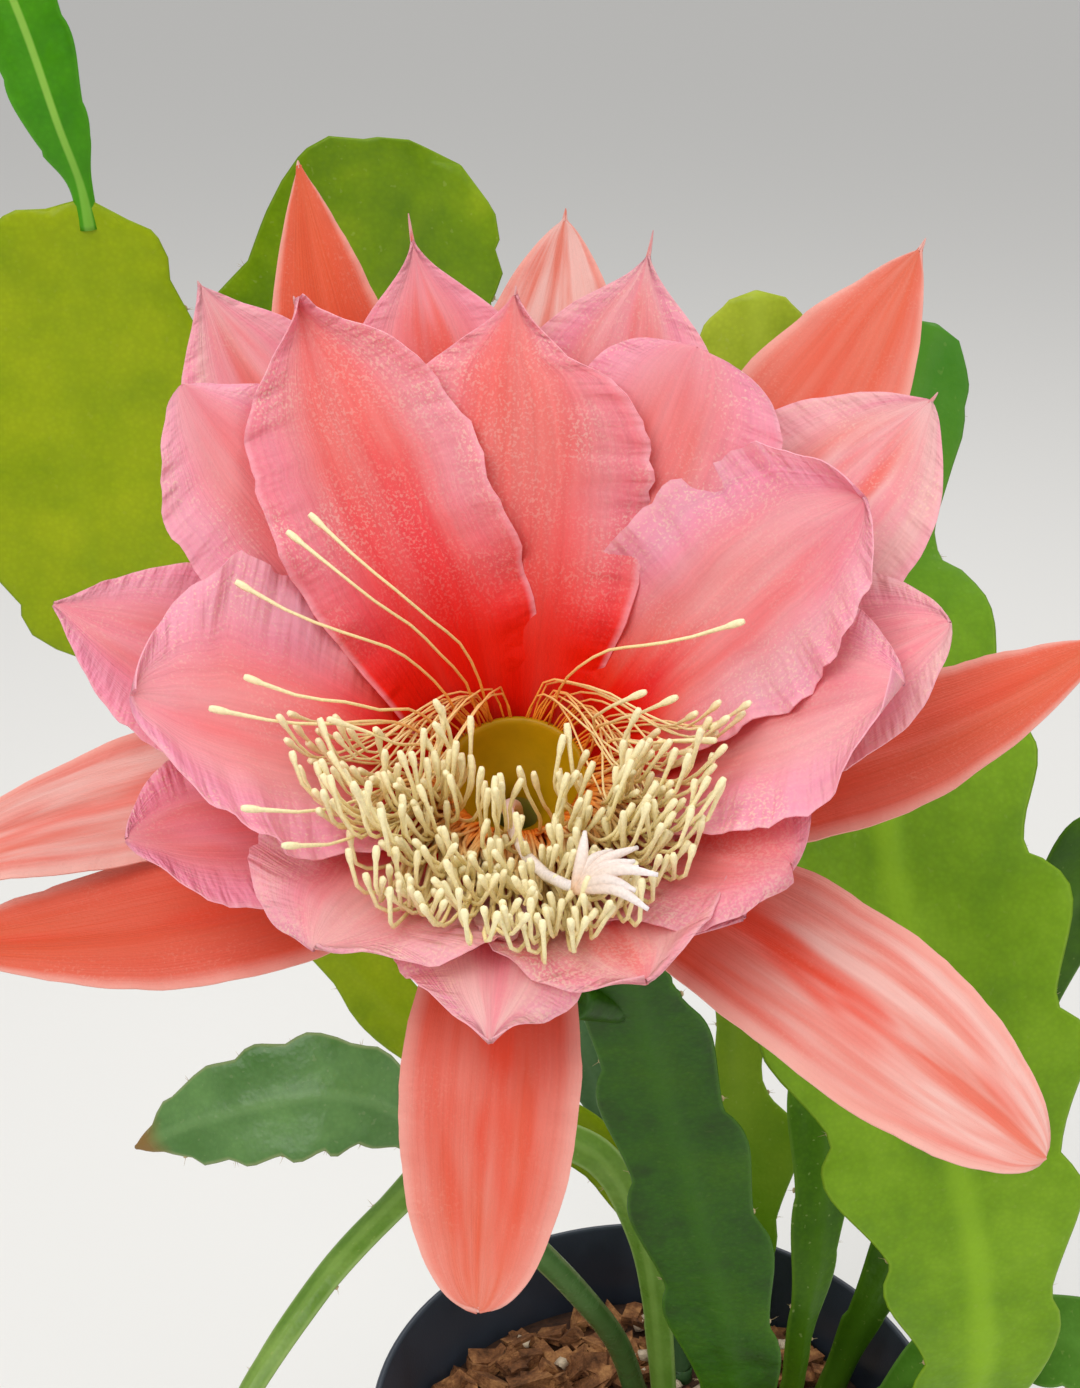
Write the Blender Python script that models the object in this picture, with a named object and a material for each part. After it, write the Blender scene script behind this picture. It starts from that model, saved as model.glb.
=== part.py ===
# A potted orchid cactus with one open flower.
# The origin is the centre of the pot's base, +Z is up, and the flower looks towards -Y.
# All sizes below are millimetres, and MM turns them to metres.

import math
import random

import bpy
import bmesh
from mathutils import Vector

MM = 0.001
GAP = 0.3

# Nursery pot
POT_HEIGHT = 135
POT_RIM_RADIUS = 73.5
POT_BASE_RADIUS = 52
POT_WALL = 2.1
POT_FLOOR = 2.6
RIM_BAND = 13
RIM_STEP = 2.4
DRAIN_HOLES = 6
DRAIN_RADIUS = 5
DRAIN_CIRCLE = 42
POT_SIDES = 36

# Potting mix
MIX_LEVEL = 112
MIX_RELIEF = 2.0
ROOT_DEPTH = 18
STALK_RISE = 4

# Flat stems: rib and edge are half thicknesses
STEM_RIB = 1.8
STEM_EDGE = 0.55
STEM_FOLD = 0.10
STEM_TIP = 1.1
STATIONS_PER_LOBE = 4

# Flower: its throat's centre and how steeply its axis rises from the horizontal
THROAT = Vector((-33.4, -139, 388))
AXIS_RISE = math.radians(60)
FLOWER_RIGHT = Vector((1, 0, 0))
FLOWER_UP = Vector((0, math.sin(AXIS_RISE), math.cos(AXIS_RISE)))
FLOWER_AXIS = Vector((0, -math.cos(AXIS_RISE), math.sin(AXIS_RISE)))
FLOWER_SIDES = 16

# The rings that carry the whorls, from the tube's flange to the stamens: lowest and highest level
FLANGE = (-12, -9)
OUTER_RING = (-8.7, -5.3)
INNER_RING = (-5, -0.5)
STAMEN_RING = (-0.2, 1.3)
RING_RADIUS = 14
THROAT_RADIUS = 8.3
SLEEVE_RADIUS = 9.5
CAVITY_DEPTH = 30
PETAL_THICKNESS = 0.8
SEPAL_THICKNESS = 1.1

# Stamens
FILAMENT_RADIUS = 0.40
ANTHER_RADIUS = 0.95
ANTHER_LENGTH = 3.6
CROWDED_STAMENS = 36
STYLE_CLEARANCE = 2.6
PETAL_CLEARANCE = 2.0

# Each stem: where it stands in the mix, its points above the mix as (x, y, z, half width), the way
# its flat side faces as (azimuth, elevation), its lobes, how deep the notches are, where along
# it the lobes start, how long and how blunt its tip is, and the radius of its stalk.
STEMS = {
    "stem_bearing": dict(
        root=(18, -22),
        path=[(17, -31, 147, 6), (15, -41, 182, 10), (6, -52, 230, 14), (-5, -66, 279, 13.5),
              (-12, -79, 310, 11), (-15, -86, 328, 7.5)],
        facing=(-95, 15), lobes=5, notch=0.20, start=0.14, tip=(16, 2.0), stalk=4.2,
        colour=(0.030, 0.125, 0.012)),
    "stem_right": dict(
        root=(40, -12),
        path=[(50, -23, 134, 5), (62, -36, 160, 11), (69, -44, 188, 15), (66, -46, 217, 21),
              (59, -45, 247, 28), (49, -40, 285, 35), (42, -28, 316, 34), (40, -6, 345, 31),
              (40, 14, 368, 20), (47, 25, 383, 13), (50, 31, 395, 16), (56, 36, 409, 11)],
        facing=(-86, 8), lobes=8, notch=0.20, start=0.16, tip=(14, 2.8), stalk=5,
        colour=(0.200, 0.400, 0.030)),
    "stem_left": dict(
        root=(19, 10),
        path=[(17, 11, 130, 4), (9, 15, 160, 5.5), (-1, 20, 181, 7), (-16, 25, 197, 8),
              (-39, 29, 213, 9), (-64, 30, 235, 9.5), (-87, 25, 271, 8), (-107, 15, 314, 7),
              (-117, 10, 342, 9), (-122, 8, 357, 21), (-125, 6, 376, 29), (-125, 5, 400, 30),
              (-122, 3, 420, 27), (-118, 0, 443, 17)],
        facing=(-84, 8), lobes=8, notch=0.20, start=0.12, tip=(20, 2.8), stalk=4.6,
        colour=(0.330, 0.470, 0.012)),
    "stem_back": dict(
        root=(24, 46),
        path=[(23, 49, 132, 6), (20, 53, 152, 8), (10, 60, 190, 11), (-8, 66, 222, 12),
              (-32, 69, 262, 14), (-58, 66, 312, 21), (-75, 61, 358, 31), (-78, 57, 382, 33),
              (-74, 55, 400, 33), (-66, 52, 416, 32), (-56, 48.5, 430, 27), (-47, 46, 441, 18)],
        facing=(-88, 6), lobes=7, notch=0.19, start=0.14, tip=(16, 2.4), stalk=4.6,
        colour=(0.230, 0.400, 0.016)),
    "stem_back_right": dict(
        root=(21, 30),
        path=[(21, 31, 145, 8), (21, 30, 175, 14), (21, 31, 200, 16), (21, 34, 214, 7),
              (21, 37, 235, 8), (22, 45, 290, 11), (22, 50, 345, 14), (20, 51, 385, 15),
              (18, 50, 413, 12)],
        facing=(-92, 4), lobes=7, notch=0.19, start=0.12, tip=(12, 2.6), stalk=4.2,
        colour=(0.280, 0.430, 0.020)),
    "stem_slim": dict(
        root=(33, 6),
        path=[(34, 1, 135, 3.4), (35, -6, 168, 4.4), (37, -4, 192, 7), (38, 2, 215, 9),
              (35, 10, 243, 8), (33, 16, 262, 5)],
        facing=(-70, 6), lobes=4, notch=0.14, start=0.2, tip=(12, 1.7), stalk=3.4,
        colour=(0.070, 0.210, 0.020)),
    "stem_leaf": dict(
        root=(-4, 26),
        path=[(-10, 17, 142, 3.6), (-21, 2, 172, 3.5), (-36, -14, 205, 3.4), (-50, -25, 234, 3.8),
              (-62, -30, 250, 9), (-75, -31, 255, 13.5), (-92, -31, 252, 13), (-108, -30, 246, 9),
              (-120, -30, 240, 4.5)],
        facing=(-96, 34), lobes=8, notch=0.14, start=0.58, tip=(16, 1.5), stalk=3.4,
        colour=(0.120, 0.270, 0.060)),
    "stem_arching": dict(
        root=(3, -2),
        path=[(1, 1, 150, 3.8), (-4, 4, 186, 4.2), (-15, 6, 209, 4.6), (-34, 6, 217, 4.8),
              (-50, 0, 217, 4.6), (-63, -10, 210, 4.2), (-78, -25, 201, 3.8), (-94, -43, 186, 3.2),
              (-103, -53, 173, 2.4)],
        facing=(-120, 46), lobes=4, notch=0.08, start=0.2, tip=(14, 1.5), stalk=3.6,
        colour=(0.150, 0.330, 0.040)),
    "stem_edge": dict(
        root=(48, 24),
        path=[(56, 26, 142, 6), (67, 28, 172, 9), (81, 31, 210, 11), (95, 34, 252, 12),
              (104, 32, 280, 12), (109, 28, 298, 8)],
        facing=(-82, 6), lobes=4, notch=0.16, start=0.14, tip=(14, 2.4), stalk=4.2,
        colour=(0.050, 0.170, 0.016)),
    "stem_low": dict(
        root=(53, 3),
        path=[(61, 1, 141, 4.2), (74, -4, 160, 8), (88, -10, 169, 11), (102, -19, 172, 12),
              (117, -28, 170, 9), (129, -34, 165, 4)],
        facing=(-80, 40), lobes=4, notch=0.16, start=0.2, tip=(14, 1.7), stalk=3.8,
        colour=(0.060, 0.220, 0.030)),
    "stem_grey": dict(
        root=(9, 35),
        path=[(5, 38, 132, 3.8), (1.5, 42, 148, 4.4), (-1.5, 45, 166, 3.8), (-9, 48, 190, 7),
              (-17, 50, 208, 8), (-24, 51, 224, 5)],
        facing=(-92, 4), lobes=4, notch=0.14, start=0.3, tip=(12, 1.8), stalk=3.4,
        colour=(0.090, 0.210, 0.070)),
}

# The young shoot on the left stem's shoulder, as (x, y, z, half width)
SHOOT_PATH = [(-117, 1, 428, 3.0), (-118.5, 0, 441, 3.4), (-121, -5, 458, 6), (-124, -11, 476, 8),
              (-128, -18, 494, 7.5), (-133, -26, 514, 4.5)]

# The short stalk that the flower grew on: its start inside the bearing stem's edge, and its way out
PEDUNCLE_START = Vector((-19.5, -80, 311))
PEDUNCLE_WAY = Vector((-0.62, -0.60, 0.50)).normalized()
PEDUNCLE_LENGTH = 8.5
PEDUNCLE_RADIUS = 3.6

# Each petal: bearing round the axis, reach of its tip from the axis, height of its tip over the
# throat, width, slope at its root, slope at its tip, where it is widest, how blunt its tip is,
# ruffle, ruffle's phase, and how far it lies over (+) or under (-) its neighbours
INNER_PETALS = [
    (121, 61, 42, 37, 62, 38, 0.60, 0.80, 1.2, 0.0, 1.0),
    (90, 54, 42, 39, 62, 45, 0.58, 0.75, 1.2, 2.0, 0.2),
    (141, 58, 42, 31, 60, 40, 0.68, 0.55, 1.0, 1.0, -0.9),
    (190, 50, 31, 45, 50, 28, 0.66, 0.50, 1.6, 3.0, 0.9),
    (61, 53, 40, 34, 58, 38, 0.68, 0.50, 1.2, 4.0, -0.9),
    (25, 54, 36, 42, 55, 32, 0.66, 0.55, 1.8, 1.0, 0.9),
    (352, 50, 33, 39, 50, 28, 0.66, 0.50, 1.5, 5.0, 0.0),
    (322, 44, 23, 35, 38, 18, 0.66, 0.50, 1.4, 2.0, -0.9),
    (291, 46, 19, 33, 31, 14, 0.66, 0.55, 1.4, 3.0, 0.6),
    (267, 50, 18, 27, 30, -6, 0.58, 0.80, 1.6, 0.0, -0.3),
    (238, 46, 21, 37, 35, 18, 0.66, 0.55, 1.2, 4.0, 0.5),
]
MIDDLE_PETALS = [
    (127, 76, 38, 32, 45, 35, 0.62, 0.90, 0.0, 0.0, 0.0),
    (103, 66, 43, 33, 50, 40, 0.60, 0.95, 0.0, 0.0, 0.0),
    (73, 64, 43, 36, 50, 40, 0.60, 0.85, 0.0, 0.0, 0.0),
    (37, 74, 31, 36, 40, 25, 0.62, 0.60, 0.0, 0.0, 0.0),
    (6, 58, 29, 32, 40, 25, 0.62, 0.80, 0.0, 0.0, 0.0),
    (170, 63, 27, 32, 42, 25, 0.62, 0.80, 0.0, 0.0, 0.0),
    (205, 54, 22, 27, 40, 28, 0.66, 0.60, 0.0, 0.0, 0.0),
    (315, 42, 13, 29, 28, 8, 0.62, 0.80, 0.0, 0.0, 0.0),
]
# Sepals, with how far the tip swings sideways in place of the ruffle
OUTER_SEPALS = [
    (123, 86, 42, 23, 25, 32, 0.55, 0.9, -17),
    (87, 80, 33, 26, 20, 30, 0.60, 0.75, -3),
    (50, 104, 24, 28, 15, 15, 0.60, 0.85, 5),
    (358, 88, 1, 24, 10, 5, 0.50, 0.80, 27),
    (325.5, 88, -1, 27, 10, -5, 0.60, 0.50, -8.5),
    (265.5, 77, 0, 23.5, 10, -5, 0.55, 0.60, 2),
    (212, 82, -4, 23, 10, 0, 0.50, 0.70, -22),
    (172, 80, 4, 24, 12, 5, 0.55, 0.70, 30),
]
PETAL_BASE = 0.45
PETAL_CUP = 0.8
SEPAL_BASE = 0.6
SEPAL_CUP = 0.35
RUFFLES = 2.2

# The long stamens that lie out over the petals: bearing of the foot, then bearing, reach and
# height of the anther
LONG_STAMENS = [
    (112, 148, 32, 38), (122, 155, 33, 38), (134, 169, 37, 36), (156, 190, 35, 33),
    (168, 197, 40, 34), (180, 204, 26, 30), (62, 4, 30, 34), (203, 218, 42, 31),
    (214, 227, 41, 31), (10, 342, 18, 29), (20, 345, 22, 28), (0, 333, 29, 29),
]
# The style: its points in the flower's own frame, and the bearings of its stigma lobes
STYLE_PATH = [(0, 0, -29.7), (0, -1.5, -14), (-0.5, -4, -1), (-1, -11, 9), (0, -21, 17),
              (4, -29, 23), (8.7, -33, 26)]
STYLE_RADIUS = 0.9
LOBE_BEARINGS = [-22, -8, 5, 18, 32, 46, 62, 80]
LOBE_LENGTH = 10.5


def flower(x, y, z):
    """A point of the flower's own frame, in the part's frame, in millimetres."""
    return THROAT + FLOWER_RIGHT * x + FLOWER_UP * y + FLOWER_AXIS * z


def material(name, colour, roughness):
    made = bpy.data.materials.new(name)
    made.use_nodes = True
    shader = made.node_tree.nodes["Principled BSDF"]
    shader.inputs["Base Color"].default_value = (*colour, 1)
    shader.inputs["Roughness"].default_value = roughness
    return made


def add_object(name, points, faces, finish=None):
    """One closed mesh from points in millimetres."""
    mesh = bpy.data.meshes.new(name)
    mesh.from_pydata([tuple(Vector(p) * MM) for p in points], [], faces)
    work = bmesh.new()
    work.from_mesh(mesh)
    bmesh.ops.recalc_face_normals(work, faces=work.faces)
    if work.calc_volume(signed=True) < 0:
        bmesh.ops.reverse_faces(work, faces=work.faces)
    work.to_mesh(mesh)
    work.free()
    made = bpy.data.objects.new(name, mesh)
    bpy.context.scene.collection.objects.link(made)
    if finish:
        mesh.materials.append(finish)
    return made


def loft(rings, falling=False):
    """Points and faces of a closed body through rings of equally many points. A falling loft cuts
    its faces along their other diagonals."""
    size = len(rings[0])
    points = [p for ring in rings for p in ring]
    faces = []
    for low in range(len(rings) - 1):
        for i in range(size):
            j = (i + 1) % size
            a, b = low * size + i, low * size + j
            if falling:
                faces += [(a, b, a + size), (b, b + size, a + size)]
            else:
                faces += [(a, b, b + size), (a, b + size, a + size)]
    last = (len(rings) - 1) * size
    faces.append(tuple(range(size - 1, -1, -1)))
    faces.append(tuple(range(last, last + size)))
    return points, faces


def turned(profile, sides, place):
    """Rings of a profile of (radius, level) pairs, each point set by place(x, y, level)."""
    rings = []
    for radius, level in profile:
        ring = []
        for i in range(sides):
            angle = 2 * math.pi * i / sides
            ring.append(place(radius * math.cos(angle), radius * math.sin(angle), level))
        rings.append(ring)
    return rings


def washer(name, inner, outer, levels, finish=None):
    """A flat ring round the flower's axis, as a closed body."""
    low, high = levels
    profile = [(inner, low), (outer, low), (outer, high), (inner, high)]
    rings = turned(profile, FLOWER_SIDES, flower)
    points = [p for ring in rings for p in ring]
    faces = []
    for k in range(4):
        for i in range(FLOWER_SIDES):
            j = (i + 1) % FLOWER_SIDES
            a, b = k * FLOWER_SIDES, ((k + 1) % 4) * FLOWER_SIDES
            faces.append((a + i, a + j, b + j, b + i))
    return add_object(name, points, faces, finish)


def keep_largest(mesh):
    """Leaves one body: drops loose scrap, and fills the hollows that a union sealed."""
    work = bmesh.new()
    work.from_mesh(mesh)
    unseen = set(work.verts)
    groups = []
    while unseen:
        start = unseen.pop()
        group = {start}
        front = [start]
        while front:
            vert = front.pop()
            for edge in vert.link_edges:
                other = edge.other_vert(vert)
                if other in unseen:
                    unseen.remove(other)
                    group.add(other)
                    front.append(other)
        groups.append(group)
    groups.sort(key=len)
    for group in groups[:-1]:
        bmesh.ops.delete(work, geom=list(group), context="VERTS")
    work.to_mesh(mesh)
    work.free()


def boolean(target, others, operation, solver="EXACT"):
    """Applies one Boolean with all the others, and removes them."""
    group = bpy.data.collections.new("operands")
    bpy.context.scene.collection.children.link(group)
    for other in others:
        group.objects.link(other)
    modifier = target.modifiers.new("join", "BOOLEAN")
    modifier.operation = operation
    modifier.operand_type = "COLLECTION"
    modifier.collection = group
    modifier.solver = solver
    bpy.context.view_layer.update()
    evaluated = target.evaluated_get(bpy.context.evaluated_depsgraph_get())
    result = bpy.data.meshes.new_from_object(evaluated)
    target.modifiers.remove(modifier)
    target.data = result
    for other in others:
        bpy.data.objects.remove(other)
    bpy.data.collections.remove(group)
    keep_largest(target.data)
    return target


def catmull(points, at):
    """A smooth curve through points, at a parameter from 0 to len(points) - 1."""
    span = min(int(at), len(points) - 2)
    u = at - span
    first = points[max(span - 1, 0)]
    a, b = points[span], points[span + 1]
    last = points[min(span + 2, len(points) - 1)]
    result = []
    for p, q, r, s in zip(first, a, b, last):
        result.append(q + 0.5 * u * (r - p + u * (2 * p - 5 * q + 4 * r - s + u * (3 * (q - r) + s - p))))
    return result


def lobe_bump(phase):
    """The outline of one lobe from notch to notch: it swells slowly and closes fast."""
    u = phase % 1.0
    return math.sin(math.pi * u * u) ** 0.8


def tip_taper(along, length, tip):
    """How much of its width the blade keeps near its tip."""
    reach, bluntness = tip
    left = (1 - along) * length
    if left >= reach:
        return 1.0
    x = 1 - left / reach
    return max(0.0, 1 - x ** bluntness) ** (1 / bluntness)


def blade_rings(points, facing, lobes, notch, start, tip, stalk):
    """Six-sided sections of a flat stem along a curve through (x, y, z, half width) points."""
    azimuth, elevation = (math.radians(v) for v in facing)
    front = Vector((math.cos(azimuth) * math.cos(elevation), math.sin(azimuth) * math.cos(elevation),
                    math.sin(elevation)))
    steps = 16 * (len(points) - 1)
    dense = [catmull(points, (len(points) - 1) * i / steps) for i in range(steps + 1)]
    lengths = [0.0]
    for p, q in zip(dense, dense[1:]):
        lengths.append(lengths[-1] + (Vector(q[:3]) - Vector(p[:3])).length)
    total = lengths[-1]
    stations = [start * i / 4 for i in range(4)]
    count = STATIONS_PER_LOBE * lobes
    stations += [start + (1 - start) * i / count for i in range(count)]
    stations += [0.988, 1.0]
    rings = []
    for along in stations:
        k = 0
        while k < steps - 1 and lengths[k + 1] < along * total:
            k += 1
        u = (along * total - lengths[k]) / (lengths[k + 1] - lengths[k])
        centre = Vector(dense[k][:3]).lerp(Vector(dense[k + 1][:3]), u)
        wide = dense[k][3] + (dense[k + 1][3] - dense[k][3]) * u
        before, after = max(k - 2, 0), min(k + 3, steps)
        tangent = (Vector(dense[after][:3]) - Vector(dense[before][:3])).normalized()
        across = tangent.cross(front).normalized()
        normal = across.cross(tangent)
        bladed = min(1.0, along / start)
        bladed = bladed * bladed * (3 - 2 * bladed)
        wide = max(wide, stalk * (1 - bladed)) * tip_taper(along, total, tip)
        wide = max(wide, STEM_TIP)
        phase = lobes * max(0.0, along - start) / (1 - start)
        halves = []
        for offset in (0.0, 0.5):
            cut = notch * bladed * (1 - lobe_bump(phase + offset)) if along > start else 0.0
            halves.append(wide * (1 - cut) * (1 - 0.13 * (1 - bladed)))
        rib = min(STEM_RIB, wide) * bladed + stalk * (1 - bladed)
        edge = STEM_EDGE * bladed + 0.5 * stalk * (1 - bladed)
        fold = STEM_FOLD * bladed
        left, right = -halves[0], halves[1]
        section = [(left, -edge - fold * left), (0, -rib), (right, -edge + fold * right),
                   (right, edge + fold * right), (0, rib), (left, edge - fold * left)]
        rings.append([centre + across * x - normal * y for x, y in section])
    return rings


def stem(name, spec):
    """One flat stem, standing in the mix on a round stalk."""
    x, y = spec["root"]
    stalk = spec["stalk"]
    foot = (x, y, MIX_LEVEL - ROOT_DEPTH, stalk)
    points = [(x, y, MIX_LEVEL + STALK_RISE, stalk)] + spec["path"]
    rings = blade_rings(points, spec["facing"], spec["lobes"], spec["notch"], spec["start"],
                        spec["tip"], stalk)
    azimuth = math.radians(spec["facing"][0])
    across = Vector((-math.sin(azimuth), math.cos(azimuth), 0))
    front = Vector((math.cos(azimuth), math.sin(azimuth), 0))
    hexagon = [(-0.87, -0.5), (0, -1), (0.87, -0.5), (0.87, 0.5), (0, 1), (-0.87, 0.5)]
    for level in (MIX_LEVEL + STALK_RISE, foot[2]):
        centre = Vector((x, y, level))
        ring = [centre + across * a * stalk - front * b * stalk for a, b in hexagon]
        if level == foot[2]:
            rings.insert(0, ring)
        else:
            rings[0] = ring
    points, faces = loft(rings, falling=True)
    return add_object(name, points, faces, material(name + "_skin", spec["colour"], 0.42))


def tube_rings(points, radii, sides):
    """Round sections of the given radii along a curve through points."""
    count = len(radii)
    centres = [Vector(catmull(points, (len(points) - 1) * i / (count - 1))) for i in range(count)]
    rings = []
    side = None
    for i, radius in enumerate(radii):
        tangent = (centres[min(i + 1, count - 1)] - centres[max(i - 1, 0)]).normalized()
        if side is None:
            side = tangent.orthogonal().normalized()
        side = (side - tangent * side.dot(tangent)).normalized()
        other = tangent.cross(side)
        ring = []
        for k in range(sides):
            angle = 2 * math.pi * k / sides
            ring.append(centres[i] + (side * math.cos(angle) + other * math.sin(angle)) * radius)
        rings.append(ring)
    return rings


def petal_outline(along, belly, base, blunt):
    """Share of its full width that a petal has at a place along it."""
    if along < belly:
        return base + (1 - base) * math.sin(math.pi / 2 * along / belly) ** 1.1
    return math.cos(math.pi / 2 * (along - belly) / (1 - belly)) ** blunt


def petal_point(petal, along, across):
    """A point of a petal's middle surface: along runs 0 to 1 to the tip, across -1 to 1."""
    r0, z0 = petal["root"]
    r1, z1 = petal["tip"]
    rise0, rise1 = math.radians(petal["rise0"]), math.radians(petal["rise1"])
    chord = math.hypot(r1 - r0, z1 - z0)
    s = along
    h = (2 * s ** 3 - 3 * s ** 2 + 1, s ** 3 - 2 * s ** 2 + s, 3 * s ** 2 - 2 * s ** 3, s ** 3 - s ** 2)
    d = (6 * s ** 2 - 6 * s, 3 * s ** 2 - 4 * s + 1, 6 * s - 6 * s ** 2, 3 * s ** 2 - 2 * s)
    slopes_r = (chord * math.cos(rise0), chord * math.cos(rise1))
    slopes_z = (chord * math.sin(rise0), chord * math.sin(rise1))
    r = h[0] * r0 + h[1] * slopes_r[0] + h[2] * r1 + h[3] * slopes_r[1]
    z = h[0] * z0 + h[1] * slopes_z[0] + h[2] * z1 + h[3] * slopes_z[1]
    dr = d[0] * r0 + d[1] * slopes_r[0] + d[2] * r1 + d[3] * slopes_r[1]
    dz = d[0] * z0 + d[1] * slopes_z[0] + d[2] * z1 + d[3] * slopes_z[1]
    run = math.hypot(dr, dz)
    dr, dz = dr / run, dz / run
    half = max(petal_outline(s, petal["belly"], petal["base"], petal["blunt"]) * petal["wide"] / 2, 0.6)
    x = half * across
    bend = petal["cup"] * max(dz, 0.05) / max(r, 12)
    ease = min(1.0, max(0.0, (s - 0.12) / 0.4))
    phase = petal["phase"] if across > 0 else petal["phase"] + 1.7
    ruffle = petal["ruffle"] * abs(across) ** 3 * math.sin(2 * math.pi * RUFFLES * s + phase)
    y = bend * x * x / 2 + (ruffle + petal["layer"]) * ease
    x += petal["swing"] * s * s
    bearing = math.radians(petal["bearing"])
    r, z = r - dz * y, z + dr * y
    return flower(math.cos(bearing) * r - math.sin(bearing) * x,
                  math.sin(bearing) * r + math.cos(bearing) * x, z)


def petal_body(petal, rows, columns, thickness):
    """A thin closed blade over a petal's middle surface, cut into triangles alike on both faces."""
    small = 0.01
    tops, bottoms = [], []
    for i in range(rows + 1):
        for j in range(columns + 1):
            s, t = i / rows, 2 * j / columns - 1
            point = petal_point(petal, s, t)
            length = petal_point(petal, min(s + small, 1), t) - petal_point(petal, max(s - small, 0), t)
            middle = min(s, 0.93)
            width = petal_point(petal, middle, min(t + small, 1)) - petal_point(petal, middle, max(t - small, -1))
            normal = length.cross(width).normalized()
            tops.append(point + normal * thickness / 2)
            bottoms.append(point - normal * thickness / 2)
    wide = columns + 1
    shift = len(tops)
    faces = []
    for i in range(rows):
        for j in range(columns):
            a = i * wide + j
            b, c, d = a + 1, a + wide + 1, a + wide
            for up, down in (((a, b, c), (c, b, a)), ((a, c, d), (d, c, a))):
                faces.append(up)
                faces.append(tuple(v + shift for v in down))
    rim = [j for j in range(wide)]
    rim += [i * wide + columns for i in range(1, rows + 1)]
    rim += [rows * wide + j for j in range(columns - 1, -1, -1)]
    rim += [i * wide for i in range(rows - 1, 0, -1)]
    for a, b in zip(rim, rim[1:] + rim[:1]):
        faces.append((b, a, a + shift))
        faces.append((b, a + shift, b + shift))
    return tops + bottoms, faces


def petal_spec(row, root, base, cup):
    keys = ("bearing", "reach", "height", "wide", "rise0", "rise1", "belly", "blunt", "ruffle",
            "phase", "layer")
    spec = dict(zip(keys, row))
    spec.update(root=root, tip=(spec["reach"], spec["height"]), base=base, cup=cup, swing=0)
    return spec


def sepal_spec(row):
    keys = ("bearing", "reach", "height", "wide", "rise0", "rise1", "belly", "blunt", "swing")
    spec = dict(zip(keys, row))
    spec.update(root=(12.4, -7), tip=(spec["reach"], spec["height"]), base=SEPAL_BASE, cup=SEPAL_CUP,
                ruffle=0, phase=0, layer=0)
    return spec


def stamen_path(bearing, row, tip, end_way, sweep):
    """Points from the ring to an anther: off the ring, steeply up, and in along end_way."""
    out = Vector((math.cos(bearing), math.sin(bearing), 0))
    base = out * row + Vector((0, 0, 0.6))
    tip = Vector(tip)
    reach = (tip - base).length
    first = base + (out * 0.35 + Vector((0, 0, 1))).normalized() * reach * 0.30
    second = tip - end_way.normalized() * reach * sweep
    return [base, base.lerp(first, 0.5), first.lerp(second, 0.5), second, tip]


def nearest(path, others):
    """Smallest distance between the corners of two fine curves."""
    return min((p - q).length for p in path for q in others)


def fine(points, steps=14):
    return [Vector(catmull(points, (len(points) - 1) * i / steps)) for i in range(steps + 1)]


def lobe_way(bearing):
    """The way of a stigma lobe, spread like a hand round the style's last stretch."""
    angle = math.radians(bearing)
    return Vector((math.cos(angle), math.sin(angle) * 0.9, 0.18 + 0.30 * math.cos(3 * angle))).normalized()


for old in list(bpy.data.objects):
    bpy.data.objects.remove(old)


# The pot: a turned shell with a banded rim and drain holes round its floor
wall_top = POT_HEIGHT - RIM_BAND
wall_radius = POT_RIM_RADIUS - RIM_STEP - 1
pot_profile = [
    (POT_BASE_RADIUS, 0),
    (wall_radius, wall_top),
    (POT_RIM_RADIUS - 1, wall_top + 1.5),
    (POT_RIM_RADIUS, POT_HEIGHT - 1),
    (POT_RIM_RADIUS - 0.8, POT_HEIGHT),
    (POT_RIM_RADIUS - POT_WALL, POT_HEIGHT),
    (wall_radius - POT_WALL, wall_top - 1),
    (POT_BASE_RADIUS - POT_WALL, POT_FLOOR),
]


def upright(x, y, z):
    return Vector((x, y, z))


def pot_inner_radius(level):
    share = (level - POT_FLOOR) / (wall_top - 1 - POT_FLOOR)
    low, high = POT_BASE_RADIUS - POT_WALL, wall_radius - POT_WALL
    return low + (high - low) * share


pot_points, pot_faces = loft(turned(pot_profile, POT_SIDES, upright))
pot = add_object("pot", pot_points, pot_faces, material("pot_plastic", (0.018, 0.021, 0.028), 0.38))
drains = []
for hole in range(DRAIN_HOLES):
    angle = 2 * math.pi * (hole + 0.5) / DRAIN_HOLES
    centre = (DRAIN_CIRCLE * math.cos(angle), DRAIN_CIRCLE * math.sin(angle))
    rings = turned([(DRAIN_RADIUS, -2), (DRAIN_RADIUS, POT_FLOOR + 2)], 10,
                   lambda x, y, z, c=centre: Vector((x + c[0], y + c[1], z)))
    drains.append(add_object("drain", *loft(rings)))
boolean(pot, drains, "DIFFERENCE")

# The potting mix: a bark bed with a lumpy top, and a plain hole for each stalk
draw = random.Random(7)
mix_rings = turned([(pot_inner_radius(POT_FLOOR + GAP) - GAP - 0.1, POT_FLOOR + GAP),
                    (pot_inner_radius(MIX_LEVEL - 2) - GAP - 0.1, MIX_LEVEL - 2)], POT_SIDES, upright)
for radius in (56, 44, 31, 17, 6):
    ring = turned([(radius, MIX_LEVEL)], POT_SIDES, upright)[0]
    mix_rings.append([p + Vector((0, 0, draw.uniform(-MIX_RELIEF, MIX_RELIEF))) for p in ring])
mix = add_object("potting_mix", *loft(mix_rings), material("bark_mix", (0.120, 0.055, 0.025), 0.9))
sockets = []
for spec in STEMS.values():
    radius = (spec["stalk"] + GAP + 0.05) / math.cos(math.pi / 8)
    x, y = spec["root"]
    rings = turned([(radius, MIX_LEVEL - ROOT_DEPTH - GAP), (radius, MIX_LEVEL + 12)], 8,
                   lambda a, b, z, c=(x, y): Vector((a + c[0], b + c[1], z)))
    sockets.append(add_object("socket", *loft(rings)))
boolean(mix, sockets, "DIFFERENCE")

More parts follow.
